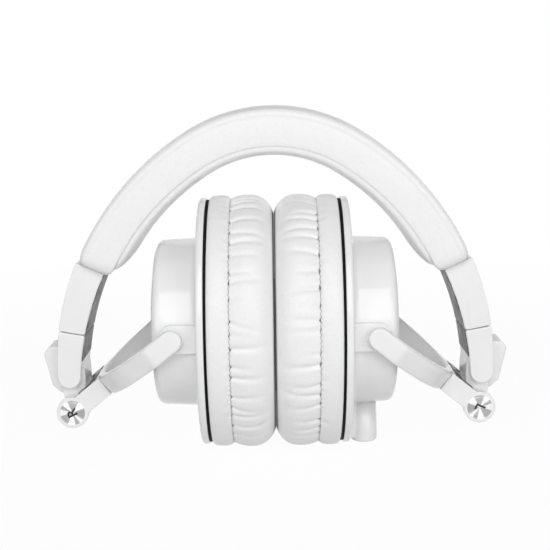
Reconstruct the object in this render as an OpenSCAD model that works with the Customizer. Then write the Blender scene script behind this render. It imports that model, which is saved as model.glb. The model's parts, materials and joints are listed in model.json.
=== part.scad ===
// Folding over-ear headphones, stored with both ear cups swung up inside the headband.
// X runs from the wearer's right to left, Y from front to back and Z up, in millimetres.
// The origin lies on the surface that the ear cushions stand on, midway between the cups.

/* [Ear cup] */
// Height of the cup's oval flange
cup_height = 97.8; // [92:0.2:106]
// Front to back depth of the cup's oval flange
cup_depth = 84; // [76:0.5:90]
// Thickness of the flange's rim
flange_t = 2.9; // [2:0.1:4]
// Radius of the round can behind the flange
can_r = 33; // [30:0.5:36]
// Depth of the can behind the flange
can_depth = 17; // [15:0.5:22]
// Rounding of the can's back rim
can_round = 3.2; // [1:0.1:5]
// Wall of the moulded shell
shell_wall = 2; // [1.5:0.1:2.6]
// Radius of the round plate let into the can's back
back_plate_r = 26; // [18:0.5:28]
// How far the round plate stands proud of the can's back
back_plate_proud = 0.8; // [0.4:0.1:2]
// Height of the flat pivot boss on each side of the can
boss_height = 10.8; // [10.5:0.2:16]
// How far the pivot boss stands out from the can's wall
boss_proud = 1.6; // [1:0.1:3]
// Distance from the flange's back face to the tilt axis
pivot_back = 9.5; // [8.5:0.1:10.5]

/* [Ear pad] */
// Depth of the front cushion, from its seam to its face
cushion_depth = 16.5; // [12:0.5:22]
// How far the cushion bulges past the flange's outline
cushion_bulge = 1.4; // [0.8:0.1:3]
// Depth of the skirt behind the seam
skirt_depth = 7.9; // [6:0.1:12]
// How far the skirt bulges past the flange's outline
skirt_bulge = 0.6; // [0.2:0.1:1.2]
// Height of the ear opening
ear_height = 60; // [52:1:66]
// Depth of the ear opening
ear_depth = 42; // [36:1:48]
// Number of gathers sewn into the seam round the cushion
gathers = 24; // [12:1:30]
// Depth of the gathers
gather_depth = 0.5; // [0:0.1:0.9]
// Depth of the flat that the cushion stands on
rest_flat = 0.5; // [0.3:0.1:1]
// Gap between the two cushions when folded
pad_gap = 0.8; // [0.6:0.1:3]

/* [Driver] */
// Thickness of the baffle plate
baffle_t = 1.3; // [1:0.1:2]
// How far the baffle's edge is set in from the flange's outline
baffle_inset = 0.8; // [0.3:0.1:2]
// Radius of the driver
driver_r = 22.5; // [18:0.5:24]
// Depth of the driver's frame
driver_depth = 6; // [4:0.5:8]
// Radius of the driver's magnet
magnet_r = 13; // [9:0.5:15]
// Depth of the magnet behind the frame
magnet_depth = 5; // [3:0.5:6]
// Thickness of the damping foam in the can's back
foam_t = 2.5; // [1.5:0.5:3]

/* [Yoke and hinge] */
// Angle of the yoke above the level, when folded
fold_angle = 39; // [34:0.2:42]
// Clearance between the yoke's bay and the can
bay_clear = 1.3; // [1:0.1:2]
// Thickness of the yoke's cross bar
bar_t = 4; // [3:0.1:5]
// Thickness of the yoke's two arms
arm_t = 3.7; // [3.4:0.1:5]
// Width of the yoke's two arms
arm_w = 8.4; // [7.6:0.1:10]
// Radius of the tilt pivot bushes
bush_r = 2.4; // [1.8:0.1:3]
// Gap between the yoke's cross bar and the hinge leaf
swivel_gap = 0.4; // [0.3:0.05:0.8]
// Radius of the swivel pin
swivel_pin_r = 2.2; // [1.6:0.1:2.8]
// Thickness of the hinge leaf's bridge
bridge_t = 3.1; // [2.6:0.1:5]
// Distance from the fold axis to the hinge leaf's bridge
bridge_start = 11.1; // [10.2:0.1:13]
// Radius of the hinge leaf's round ears
ear_r = 6.2; // [5.6:0.1:7]
// Thickness of each ear
ear_t = 4.6; // [3.8:0.1:6]
// Half the width of the hinge block's knuckle
knuckle_half = 8; // [6.5:0.1:8.5]
// Radius of the fold hinge's pin
hinge_pin_r = 2; // [1.5:0.1:2.6]
// Radius of the metal disc in each ear
disc_r = 4.9; // [4:0.1:5]
// Thickness of the metal disc
disc_t = 1.1; // [0.8:0.1:1.6]

/* [Arm] */
// Radius of the arm's and the headband's side arcs
arm_r = 107.6; // [100:0.2:120]
// Distance from the fold axis out to the arm's outer face
arm_out = 5.4; // [5:0.1:6.4]
// Height of the side arc's centre above the fold axis
arm_rise = 16.4; // [14:0.2:19]
// Thickness of the arm at its foot
arm_foot_t = 8.8; // [8.2:0.1:10]
// How much the inner arc is dropped, which thickens the arm upwards
arm_taper = 8.8; // [6:0.2:11]
// Front to back width of the arm
arm_width = 24; // [22:0.5:28]
// Height above the fold axis of the joint between hinge block and end cap
split_rise = 31; // [29:0.5:36]
// Gap at that joint
split_gap = 0.4; // [0.3:0.05:0.8]
// Lean of the slider from the upright
slide_lean = 10; // [8:0.5:12]
// Thickness of the slider's steel strip
strip_t = 1.2; // [0.8:0.1:1.6]
// Width of the slider's steel strip
strip_w = 14; // [10:0.5:16]
// Length of strip above the joint
strip_up = 33; // [28:0.5:34]
// Length of strip sunk into the hinge block
strip_down = 9; // [6:0.5:10]
// How far the hump stands out from the arm
hump_out = 6; // [3:0.2:8]
// Front to back width of the hump
hump_width = 14; // [10:0.5:18]
// Height of the hump's top above the fold axis
hump_top = 25.5; // [18:0.5:27]
// Height of the hump's bottom above the fold axis
hump_bottom = 6.5; // [6:0.5:12]
// Radius of the small screw's head on the end cap
cap_screw_r = 1.7; // [1.2:0.1:2.2]

/* [Headband] */
// Radius of the headband's crown
crown_r = 64; // [60:0.5:76]
// Thickness of the wrapped band
band_t = 14.9; // [13.5:0.1:17]
// Rounding of the wrap's upper edges
wrap_round = 4; // [2:0.5:7]
// Thickness of the wrap's skin
skin_t = 2; // [1.4:0.1:2.4]
// Front to back width of the wrapped band
band_width = 34; // [31:0.5:40]
// Thickness of the cushion under the band
head_pad_t = 3.8; // [2.5:0.1:6]
// Thickness of the spring-steel band
spring_t = 0.9; // [0.6:0.1:1.5]
// Width of the spring-steel band
spring_w = 15; // [10:0.5:18]
// Angle of the wrap's ends about the side arc's centre
wrap_end = 23.6; // [23:0.2:27]

/* [Cable socket] */
// Radius of the socket's housing
jack_r = 5.3; // [5:0.1:6]
// Radius of the bore that takes a 2.5 mm plug
plug_r = 1.28; // [1.2:0.01:1.8]
// Depth of the plug's bore
plug_depth = 11; // [9:0.5:11.5]
// Height of the housing's mouth above the cushion's rest
jack_mouth = 0.3; // [0.2:0.1:3]

/* [Hidden] */
$fn = 96;
run = 0.06; // running clearance of a pin in its bore, on the radius
seat = 0.05; // clearance of a pressed or glued seat
play = 0.3; // gap between faces that move past each other
eps = 0.01;
oval_sides = 120;
arch_steps = 44;
rail_steps = 4;
ring_sides = 12;
skirt_turns = 60;
turns_a_gather = 4;

// Small sizes of the headband, the arm and the strip
plug_t = 9.4;
plug_sweep = 7;
core_gap = 0.4;
spring_in = 4.5;
pad_in = 1;
strip_in = 2.6;
strip_bridge = 3;
tongue_rise = 14;
tongue_proud = 0.2;
neck_in = 4.4;
cap_screw_up = 9;
cap_screw_proud = 0.7;
cap_screw_shank = 0.9;

// Small sizes of the cup, its screws and the cable socket
boss_out = 4.8;
flat_clear = 0.8;
bush_cover = 1.2;
skirt_width = 9;
screw_apart = 34;
screw_out = 3;
screw_r = 1.1;
screw_head_r = 2.2;
screw_head_t = 0.9;
jack_web = 0.9;
jack_wall = 2.4;
jack_recess = 2;
socket_end = 1;

// How square the soft sections are: 2 is an ellipse
head_pad_power = 2.6;
skirt_power = 5;
cushion_power = 2.7;

// Places along X on the wearer's left, from the middle outwards
face_x = pad_gap / 2;
seam_x = face_x + cushion_depth;
skirt_x = seam_x + skirt_depth;
baffle_x = skirt_x + baffle_t;
flange_x = baffle_x + flange_t;
back_x = flange_x + can_depth;
pivot_x = flange_x + pivot_back;

// Heights and the fold axis
cup_z = cup_height / 2 + cushion_bulge - rest_flat;
boss_y = can_r + boss_proud;
arm_in_y = boss_y + play;
arm_out_y = arm_in_y + arm_t;
bar_in = can_r + bay_clear;
bar_out = bar_in + bar_t;
yoke_len = bar_out + swivel_gap + bridge_t + bridge_start;
bridge_end = bridge_start + bridge_t;
hinge_x = pivot_x + yoke_len * cos(fold_angle);
hinge_z = cup_z - yoke_len * sin(fold_angle);
ear_in_y = knuckle_half + play;
ear_out_y = ear_in_y + ear_t;

// Arcs of the headband and the arms
side_c = [hinge_x + arm_out - arm_r, hinge_z + arm_rise];
crown_a = asin(-side_c[0] / (arm_r - crown_r));
crown_c = [0, side_c[1] + (arm_r - crown_r) * cos(crown_a)];
inner_c = side_c - [arm_foot_t, arm_taper];
split_z = hinge_z + split_rise;
split_x = (arc_x(side_c, split_z) + arc_x(inner_c, split_z)) / 2;
plug_t0 = skin_t + play;
plug_t1 = plug_t0 + plug_t;
plug_half = arm_width / 2 - 2 * play;
plug_end = wrap_end + plug_sweep;
core_start = plug_end + core_gap;
core_half = band_width / 2 - skin_t - play;
core_round = wrap_round - skin_t;
spring_mid = (skin_t + band_t) / 2;
strip_at = split_x - strip_in;
tongue_r = arm_foot_t / 2 + tongue_proud;
tongue_c = [arc_x(side_c, hinge_z + tongue_rise) - tongue_r - seat, hinge_z + tongue_rise];
neck_out = arm_out - 2 * play;
knuckle_r = ear_r - play;
leaf_half = arm_w / 2 - tongue_proud;
cap_screw_z = split_z + cap_screw_up * cos(slide_lean);
cap_face = arc_x(side_c, cap_screw_z) - strip_at + cap_screw_up * sin(slide_lean);

// Screw that stops the slider in the slot of its strip
slide_travel = strip_up - cap_screw_up - strip_bridge;

// Pivot boss, bushes and baffle screws
arm_flat = sqrt(pivot_back * pivot_back + boss_height * boss_height / 4) + flat_clear;
bush_end = arm_out_y - bush_cover;
screw_places = [for (y = [-1, 1], z = [-1, 1]) [y * screw_apart / 2, z * (can_r + screw_out)]];
screw_len = flange_t - 2 * play;

// Socket for the cable under the left can
jack_x = flange_x + jack_r + jack_web;
socket_r = jack_r - jack_wall;
socket_top = jack_mouth + jack_recess + plug_depth + socket_end;

// Where a side arc about c lies at height z
function arc_x(c, z) = c[0] + sqrt(arm_r * arm_r - (z - c[1]) * (z - c[1]));

// Mirrors a piece of the wearer's left (1) to the right (-1)
module on_side(side) {
    if (side > 0) children();
    else mirror([1, 0, 0]) children();
}

// A side view outline, x to the side and y up, as a plate of this front to back width
module side_plate(width) {
    rotate([90, 0, 0]) linear_extrude(width, center = true) children();
}

// A round piece on the cup's axis, starting at x and growing outwards
module on_cup_axis(x) {
    translate([x, 0, cup_z]) rotate([0, 90, 0]) children();
}

// A plate of the cup's oval outline, grown by this much, from x0 to x1
module oval_plate(x0, x1, grow) {
    translate([x0, 0, cup_z]) rotate([0, 90, 0]) linear_extrude(x1 - x0) oval(grow);
}

// The cup's oval outline, x along its height, grown by this much all round
module oval(grow) {
    polygon([
        for (i = [0 : oval_sides - 1])
            let (turn = 360 * i / oval_sides)
            [(cup_height / 2 + grow) * cos(turn), (cup_depth / 2 + grow) * sin(turn)]
    ]);
}

// The yoke's own frame: x from the fold axis towards the cup's pivot, y to the back
module in_yoke_frame() {
    translate([hinge_x, 0, hinge_z]) rotate([0, 180 + fold_angle, 0]) children();
}

// The slider's own frame: z up along the slider from the joint, x outwards
module in_slider_frame() {
    translate([strip_at, 0, split_z]) rotate([0, -slide_lean, 0]) children();
}

// A stretch of the arm's side arc; the outline's x runs inwards from the outer face
module arch_stretch(from, to) {
    translate([side_c[0], 0, side_c[1]]) rotate([90, 0, 0]) rotate([0, 0, from])
        rotate_extrude(angle = to - from) translate([arm_r, 0]) mirror([1, 0]) children();
}

// A point of the headband: turn is the angle of its outer face, 90 at the crown, and depth runs inwards
function arch_point(turn, depth, y) =
    let (
        on_crown = abs(turn - 90) <= crown_a,
        centre = on_crown ? crown_c : turn < 90 ? side_c : [-side_c[0], side_c[1]],
        radius = (on_crown ? crown_r : arm_r) - depth
    )
    [centre[0] + radius * cos(turn), y, centre[1] + radius * sin(turn)];

// Points of a section of [depth, y] points carried along the headband, from one end angle to the other
function arch_points(section, end) = [
    for (i = [0 : arch_steps], p = section)
        arch_point(end + (180 - 2 * end) * i / arch_steps, p[0], p[1])
];

// Triangles between neighbouring sections of this many points
function arch_sides(count) = [
    for (i = [0 : arch_steps - 1], j = [0 : count - 1], half = [0, 1])
        let (a = i * count + j, b = i * count + (j + 1) % count, c = b + count, d = a + count)
        half == 0 ? [a, c, b] : [a, d, c]
];

// A bulging section carried along the headband
module arch_sweep(section, end) {
    count = len(section);
    last = arch_steps * count;
    ends = [[for (j = [0 : count - 1]) j], [for (j = [count - 1 : -1 : 0]) last + j]];
    polyhedron(arch_points(section, end), concat(arch_sides(count), ends));
}

// A channel open underneath, between an outer and an inner rail of as many points
module arch_channel(outer, inner, end) {
    count = len(outer);
    section = concat(outer, [for (j = [count - 1 : -1 : 0]) inner[j]]);
    last = arch_steps * 2 * count;
    near = [
        for (j = [0 : count - 2], half = [0, 1])
            let (across = 2 * count - 1 - j)
            half == 0 ? [j, j + 1, across] : [j + 1, across - 1, across]
    ];
    far = [for (t = near) [last + t[2], last + t[1], last + t[0]]];
    polyhedron(arch_points(section, end), concat(arch_sides(2 * count), near, far));
}

// Rail of a channel: from the front foot over rounded edges to the back foot
function rail(top, foot, half, round) =
    let (
        edge = [
            for (i = [0 : rail_steps])
                let (a = 90 * i / rail_steps)
                [top + round * (1 - sin(a)), half - round * (1 - cos(a))]
        ]
    )
    concat(
        [[foot, half]], edge,
        [for (i = [rail_steps : -1 : 0]) [edge[i][0], -edge[i][1]]], [[foot, -half]]
    );

// A rectangle from depth t0 to t1 under the outer face, with this front to back width
module band_section(t0, t1, width) {
    translate([t0, -width / 2]) square([t1 - t0, width]);
}

// Points of a rounded box section between depths t0 and t1; a high power is squarer
function swell(angle, power) = [
    sign(cos(angle)) * pow(abs(cos(angle)), 2 / power),
    sign(sin(angle)) * pow(abs(sin(angle)), 2 / power)
];
function soft_section(t0, t1, width, power, count) = [
    for (i = [0 : count - 1])
        let (s = swell(360 * (i + 0.5) / count, power))
        [(t0 + t1) / 2 + s[0] * (t1 - t0) / 2, s[1] * width / 2]
];

// Leatherette wrapped over the core, with rounded edges and open underneath
module headband_cover() {
    outer = rail(0, band_t, band_width / 2, wrap_round);
    inner = rail(skin_t, band_t, core_half + seat, core_round);
    color("white") arch_channel(outer, inner, wrap_end);
}

// Moulded core that fills the wrap between the two end caps, with a channel for the spring
module headband_core() {
    foot = band_t - seat;
    outer = rail(skin_t + seat, foot, core_half, core_round);
    inner = rail(spring_mid - spring_t / 2 - seat, foot, spring_w / 2 + seat, seat);
    color("dimgray") arch_channel(outer, inner, core_start);
}

// Sprung steel strap inside the core, which clamps the cups to the head
module headband_spring() {
    t0 = spring_mid - spring_t / 2;
    t1 = spring_mid + spring_t / 2;
    half = spring_w / 2;
    color("silver")
        arch_sweep([[t0, half], [t0, -half], [t1, -half], [t1, half]], wrap_end + spring_in);
}

// Crowned cushion sewn along the underside of the wrap
module headband_cushion() {
    pad = soft_section(band_t + seat, band_t + head_pad_t, band_width - pad_in, head_pad_power, 14);
    color("white") arch_sweep(pad, wrap_end + pad_in);
}

// Outline of the arm between its outer and inner arcs
module arm_outline() {
    difference() {
        translate(side_c) circle(arm_r, $fn = 360);
        translate(inner_c) circle(arm_r, $fn = 360);
        translate([-2 * arm_r, -2 * arm_r]) square([2 * arm_r + hinge_x / 2, 4 * arm_r]);
    }
}

// Half plane above the joint between hinge block and end cap, offset along the slider
module above_split(offset_up) {
    translate([strip_at, split_z]) rotate(slide_lean)
        translate([-arm_r, offset_up]) square([2 * arm_r, 2 * arm_r]);
}

// Wedge of the side arcs from one angle to another
module side_wedge(from, to) {
    far = 3 * arm_r;
    translate(side_c) polygon([[0, 0], far * [cos(from), sin(from)], far * [cos(to), sin(to)]]);
}

// Straight slot that the strip slides in, with clearance on its thickness and width
module strip_slot(clear) {
    in_slider_frame() translate([-strip_t / 2 - clear, -strip_w / 2 - clear, -split_gap])
        cube([strip_t + 2 * clear, strip_w + 2 * clear, strip_up + 2 * play + split_gap]);
}

// The end cap and its plug before they are parted along the strip
module end_cap_blank() {
    side_plate(arm_width) intersection() {
        arm_outline();
        above_split(split_gap / 2);
        side_wedge(-10, wrap_end - 0.2);
    }
    arch_stretch(wrap_end - 3, plug_end) band_section(plug_t0, plug_t1, 2 * plug_half);
}

// Everything outside (1) or inside (-1) the strip's middle plane
module strip_side(half) {
    big = 2 * arm_r;
    in_slider_frame() translate([half > 0 ? seat / 2 : -big - seat / 2, -big / 2, -big / 2]) cube(big);
}

// The end cap screw's line, from the outer face in towards the headband
module cap_screw_line() {
    in_slider_frame() translate([0, 0, cap_screw_up]) rotate([0, 90, 0]) children();
}

// Slot in the plug that the headband's spring is pushed into
module spring_slot() {
    arch_stretch(wrap_end + spring_in - core_gap, plug_end + 2)
        band_section(
            spring_mid - spring_t / 2 - seat,
            spring_mid + spring_t / 2 + seat,
            spring_w + 2 * seat
        );
}

// Outer half of the moulded cap on the headband's end
module end_cap(side) {
    color("white") on_side(side) difference() {
        intersection() {
            end_cap_blank();
            strip_side(1);
        }
        strip_slot(play);
        spring_slot();
        cap_screw_line() translate([0, 0, -eps])
            cylinder(r = cap_screw_shank + seat, h = 3 * arm_foot_t);
    }
}

// Inner half of the cap, with a pocket for the detent spring
module end_plate(side) {
    color("white") on_side(side) difference() {
        intersection() {
            end_cap_blank();
            strip_side(-1);
        }
        strip_slot(play);
        spring_slot();
        cap_screw_line() translate([0, 0, -2 * cap_screw_shank])
            cylinder(r = cap_screw_shank + seat, h = arm_foot_t);
        detent_shape(seat);
    }
}

// Small screw that holds the cap's halves together and stops the slider
module cap_screw(side) {
    tip = -2 * cap_screw_shank + seat;
    color("silver") on_side(side) cap_screw_line() {
        translate([0, 0, tip]) cylinder(r = cap_screw_shank, h = cap_face * cos(slide_lean) - tip + eps);
        translate([0, 0, cap_face * cos(slide_lean)]) cylinder(r = cap_screw_r, h = cap_screw_proud);
    }
}

// Leaf that clicks into the strip's notches
module detent_shape(grow) {
    leaf_t = 0.6;
    leaf_long = 8;
    leaf_wide = 5;
    in_slider_frame()
        translate([-strip_t / 2 - play - leaf_t - grow, -leaf_wide / 2 - grow, cap_screw_up + 5 - grow])
            cube([leaf_t + grow + eps, leaf_wide + 2 * grow, leaf_long + 2 * grow]);
}

module detent_spring(side) {
    color("silver") on_side(side) difference() {
        detent_shape(0);
        strip_slot(play);
    }
}

// Steel strip that slides in the end cap, slotted for the screw and notched for the clicks
module slider_strip(side) {
    notch = 0.8;
    notch_step = 3;
    color("silver") on_side(side) in_slider_frame() difference() {
        translate([-strip_t / 2, -strip_w / 2, -strip_down])
            cube([strip_t, strip_w, strip_down + strip_up]);
        for (z = [cap_screw_up, cap_screw_up + slide_travel])
            translate([0, 0, z]) rotate([0, 90, 0])
                cylinder(r = cap_screw_shank + play, h = 2 * strip_t, center = true);
        translate([-strip_t, -cap_screw_shank - play, cap_screw_up])
            cube([2 * strip_t, 2 * (cap_screw_shank + play), slide_travel]);
        for (z = [cap_screw_up + 2 * notch_step : notch_step : strip_up - notch_step], y = [-1, 1])
            translate([0, y * strip_w / 2, z]) rotate([0, 90, 0])
                cylinder(r = notch, h = 2 * strip_t, center = true);
    }
}

// Moulded foot of the arm, with the fold hinge's knuckle
module hinge_block(side) {
    color("white") on_side(side) difference() {
        union() {
            side_plate(arm_width) {
                intersection() {
                    difference() {
                        arm_outline();
                        above_split(-split_gap / 2);
                    }
                    translate([0, tongue_c[1]]) square(arm_r);
                }
                translate(tongue_c) circle(tongue_r);
            }
            side_plate(2 * knuckle_half) {
                translate([hinge_x, hinge_z]) circle(knuckle_r);
                translate([hinge_x - neck_in, hinge_z])
                    square([neck_in + neck_out, tongue_c[1] - hinge_z]);
            }
        }
        translate([hinge_x, 0, hinge_z]) rotate([90, 0, 0])
            cylinder(r = hinge_pin_r + run, h = 4 * knuckle_half, center = true);
        in_slider_frame() translate([-strip_t / 2 - seat, -strip_w / 2 - seat, -strip_down - seat])
            cube([strip_t + 2 * seat, strip_w + 2 * seat, strip_down + arm_foot_t]);
    }
}

// Hump on the outer face that covers the wire's way into the arm
module hump_cover(side) {
    corner = 1.4;
    face = hinge_x + arm_out;
    color("white") on_side(side) difference() {
        side_plate(hump_width) hull() {
            translate([face + hump_out - corner, hinge_z + hump_top - 2 * corner])
                circle(corner, $fn = 32);
            translate([face, hinge_z + hump_top - corner]) circle(corner, $fn = 32);
            translate([face + hump_out / 2 - corner, hinge_z + hump_bottom + 2 * corner])
                circle(corner, $fn = 32);
            translate([face, hinge_z + hump_bottom + corner]) circle(corner, $fn = 32);
        }
        translate([side_c[0], 0, side_c[1]]) rotate([90, 0, 0])
            cylinder(r = arm_r + seat, h = 2 * hump_width, center = true, $fn = 360);
    }
}

// Leaf of the fold hinge: two round ears joined by a bridge
module hinge_leaf(side) {
    color("white") on_side(side) in_yoke_frame() difference() {
        union() {
            for (s = [0, 1]) mirror([0, s, 0]) {
                translate([0, ear_out_y, 0]) rotate([90, 0, 0]) cylinder(r = ear_r, h = ear_t);
                translate([0, ear_in_y, -leaf_half]) cube([bridge_end, ear_t, 2 * leaf_half]);
            }
            translate([bridge_start, -ear_out_y, -leaf_half])
                cube([bridge_t + ear_t, 2 * ear_out_y, 2 * leaf_half]);
        }
        translate([yoke_len, 0, -arm_w]) cylinder(r = bar_out + swivel_gap, h = 2 * arm_w);
        rotate([90, 0, 0]) cylinder(r = hinge_pin_r + seat, h = 4 * ear_out_y, center = true);
        for (s = [0, 1]) mirror([0, s, 0])
            translate([0, ear_out_y + eps, 0]) rotate([90, 0, 0])
                cylinder(r = disc_r + seat, h = disc_t + eps);
        rotate([0, 90, 0]) translate([0, 0, bridge_start - 1])
            cylinder(r = swivel_pin_r + seat, h = bridge_t + ear_t);
    }
}

// Steel pin of the fold hinge, fixed in the ears
module hinge_pin(side) {
    pin_len = 2 * (ear_out_y - disc_t) - seat;
    color("silver") on_side(side) in_yoke_frame() rotate([90, 0, 0])
        cylinder(r = hinge_pin_r, h = pin_len, center = true);
}

// Turned metal discs let into the ears
module hinge_discs(side) {
    rim = 0.3;
    color("silver") on_side(side) in_yoke_frame() for (s = [0, 1]) mirror([0, s, 0])
        translate([0, ear_out_y - disc_t, 0]) rotate([-90, 0, 0]) difference() {
            cylinder(r = disc_r, h = disc_t);
            translate([0, 0, disc_t - 0.2]) difference() {
                cylinder(r = disc_r - rim, h = 1);
                translate([0, 0, -1]) cylinder(r = disc_r - 2 * rim, h = 3);
            }
        }
}

// Rivet that the yoke swivels on
module swivel_pin(side) {
    color("silver") on_side(side) in_yoke_frame() rotate([0, 90, 0])
        translate([0, 0, bridge_start]) cylinder(r = swivel_pin_r, h = yoke_len - bar_in - bridge_start);
}

// Round-backed yoke that holds the cup from both sides
module yoke(side) {
    color("white") on_side(side) in_yoke_frame() difference() {
        union() {
            difference() {
                translate([yoke_len, 0, -arm_w / 2]) cylinder(r = bar_out, h = arm_w);
                translate([yoke_len, 0, -arm_w]) cylinder(r = bar_in, h = 2 * arm_w);
                translate([yoke_len - arm_flat, -2 * bar_out, -arm_w])
                    cube([4 * bar_out, 4 * bar_out, 2 * arm_w]);
            }
            for (s = [0, 1]) mirror([0, s, 0]) {
                translate([yoke_len - arm_flat - arm_t, arm_in_y, -arm_w / 2])
                    cube([arm_flat + arm_t, arm_t, arm_w]);
                translate([yoke_len, arm_out_y, 0]) rotate([90, 0, 0])
                    cylinder(r = arm_w / 2, h = arm_t);
            }
        }
        for (s = [0, 1]) mirror([0, s, 0])
            translate([yoke_len, bush_end + seat, 0]) rotate([90, 0, 0])
                cylinder(r = bush_r + run, h = arm_t);
        rotate([0, 90, 0]) cylinder(r = swivel_pin_r + run, h = yoke_len);
    }
}

// Bushes that the cup tilts on, one through each side of the can
module pivot_bushes(side) {
    color("silver") on_side(side) for (s = [0, 1]) mirror([0, s, 0])
        translate([pivot_x, bush_end, cup_z]) rotate([90, 0, 0])
            cylinder(r = bush_r, h = bush_end - can_r + shell_wall);
}

// Half section of the can, from its axis out to the rounded back rim
module can_section() {
    square([can_r - can_round, can_depth]);
    square([can_r, can_depth - can_round]);
    translate([can_r - can_round, can_depth - can_round]) intersection() {
        circle(can_round);
        square(can_round);
    }
}

// Moulded shell: oval flange, round can and the two pivot bosses
module cup_shell(side) {
    color("white") on_side(side) difference() {
        union() {
            oval_plate(baffle_x, flange_x, 0);
            on_cup_axis(flange_x - eps) rotate_extrude() can_section();
            translate([flange_x - eps, -boss_y, cup_z - boss_height / 2])
                cube([pivot_back + boss_out, 2 * boss_y, boss_height]);
        }
        on_cup_axis(baffle_x - 1)
            cylinder(r = can_r - shell_wall, h = back_x - shell_wall - baffle_x + 1);
        on_cup_axis(back_x - shell_wall / 2) cylinder(r = back_plate_r + seat, h = shell_wall);
        translate([pivot_x, 0, cup_z]) rotate([90, 0, 0])
            cylinder(r = bush_r + run, h = 3 * can_r, center = true);
        for (p = screw_places)
            translate([baffle_x - eps, p[0], cup_z + p[1]]) rotate([0, 90, 0])
                cylinder(r = screw_r + seat, h = screw_len + seat);
        if (side > 0) socket_pocket();
    }
}

// Round plate in the can's back, with a fine groove near its rim
module back_plate(side) {
    groove = 1;
    plate_t = shell_wall / 2 + back_plate_proud;
    color("whitesmoke") on_side(side) on_cup_axis(back_x - shell_wall / 2) difference() {
        cylinder(r = back_plate_r, h = plate_t);
        translate([0, 0, plate_t - back_plate_proud / 2]) difference() {
            cylinder(r = back_plate_r - 3, h = plate_t);
            translate([0, 0, -plate_t]) cylinder(r = back_plate_r - 3 - groove, h = 3 * plate_t);
        }
    }
}

// Black plate that carries the driver and closes the shell
module baffle(side) {
    color("black") on_side(side) difference() {
        oval_plate(skirt_x, baffle_x, -baffle_inset);
        on_cup_axis(skirt_x - 1) cylinder(r = driver_r - 2, h = baffle_t + 2);
        for (p = screw_places)
            translate([skirt_x - eps, p[0], cup_z + p[1]]) rotate([0, 90, 0]) {
                cylinder(r = screw_r + seat, h = 2 * baffle_t);
                cylinder(r = screw_head_r + seat, h = screw_head_t + eps);
            }
    }
}

// Loudspeaker unit behind the baffle: frame and magnet
module driver(side) {
    color("dimgray") on_side(side) on_cup_axis(baffle_x) difference() {
        union() {
            cylinder(r = driver_r, h = driver_depth);
            cylinder(r = magnet_r, h = driver_depth + magnet_depth);
        }
        translate([0, 0, -eps]) cylinder(r = driver_r - 2, h = driver_depth / 2);
    }
}

// Perforated guard in front of the driver
module driver_grille(side) {
    grille_t = 1.2;
    hole_r = 1.1;
    ring_step = 5.5;
    color("black") on_side(side) on_cup_axis(skirt_x - grille_t) difference() {
        cylinder(r = driver_r, h = grille_t);
        for (ring = [1 : 3], i = [0 : 6 * ring - 1])
            rotate(60 * i / ring) translate([ring * ring_step, 0, -1])
                cylinder(r = hole_r, h = 3 * grille_t, $fn = 16);
    }
}

// Four sunk screws that hold the baffle to the flange
module baffle_screws(side) {
    color("silver") on_side(side) for (p = screw_places)
        translate([skirt_x, p[0], cup_z + p[1]]) rotate([0, 90, 0]) {
            cylinder(r = screw_head_r, h = screw_head_t);
            cylinder(r = screw_r, h = baffle_t + screw_len);
        }
}

// Felt disc that damps the can's back
module damping_foam(side) {
    color("gray") on_side(side) on_cup_axis(back_x - shell_wall - foam_t - seat)
        cylinder(r = can_r - shell_wall - 1, h = foam_t);
}

// A point of a padded ring round the cup's axis: turn goes round the ear, angle round the ring's section
function ring_point(x0, x1, outer, inner, power, pleats, depth, turn, angle) =
    let (
        s = swell(angle, power),
        at_seam = pow((1 + s[0]) / 2, 2) * (1 + s[1]) / 2,
        pleat = depth * at_seam * (0.5 - 0.5 * cos(pleats * turn)),
        share = (1 + s[1]) / 2,
        half = inner + share * (outer - inner) - [pleat, pleat]
    )
    [(x0 + x1) / 2 + s[0] * (x1 - x0) / 2, half[1] * sin(turn), cup_z + half[0] * cos(turn)];

// Closed padded ring between x0 and x1, from the inner to the outer half height and half depth
module padded_ring(x0, x1, outer, inner, power, pleats, depth, turns, sides) {
    points = [
        for (i = [0 : turns - 1], j = [0 : sides - 1])
            let (turn = 360 * i / turns, angle = 360 * (j + 0.5) / sides)
            ring_point(x0, x1, outer, inner, power, pleats, depth, turn, angle)
    ];
    faces = [
        for (i = [0 : turns - 1], j = [0 : sides - 1], half = [0, 1])
            let (
                a = i * sides + j,
                b = i * sides + (j + 1) % sides,
                c = ((i + 1) % turns) * sides + (j + 1) % sides,
                d = ((i + 1) % turns) * sides + j
            )
            half == 0 ? [a, b, c] : [a, c, d]
    ];
    polyhedron(points, faces);
}

// Band behind the seam that holds the pad on the baffle
module pad_skirt(side) {
    rim = [cup_height / 2, cup_depth / 2];
    outer = rim + skirt_bulge * [1, 1];
    inner = rim - skirt_width * [1, 1];
    color("white") on_side(side)
        padded_ring(seam_x + seat, skirt_x - seat, outer, inner, skirt_power, 1, 0, skirt_turns, ring_sides);
}

// Crowned cushion round the ear, gathered at its seam and flat where it stands
module ear_cushion(side) {
    outer = [cup_height / 2, cup_depth / 2] + cushion_bulge * [1, 1];
    inner = [ear_height, ear_depth] / 2;
    turns = turns_a_gather * gathers;
    color("white") on_side(side) difference() {
        padded_ring(face_x, seam_x, outer, inner, cushion_power, gathers, gather_depth, turns, ring_sides);
        translate([-1, -cup_depth, -cup_height]) cube([seam_x + 2, 2 * cup_depth, cup_height]);
    }
}

// Room for the cable socket, up from the housing's mouth
module socket_pocket() {
    translate([jack_x, 0, jack_mouth - eps])
        cylinder(r = socket_r + seat, h = socket_top + seat - jack_mouth);
}

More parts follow.
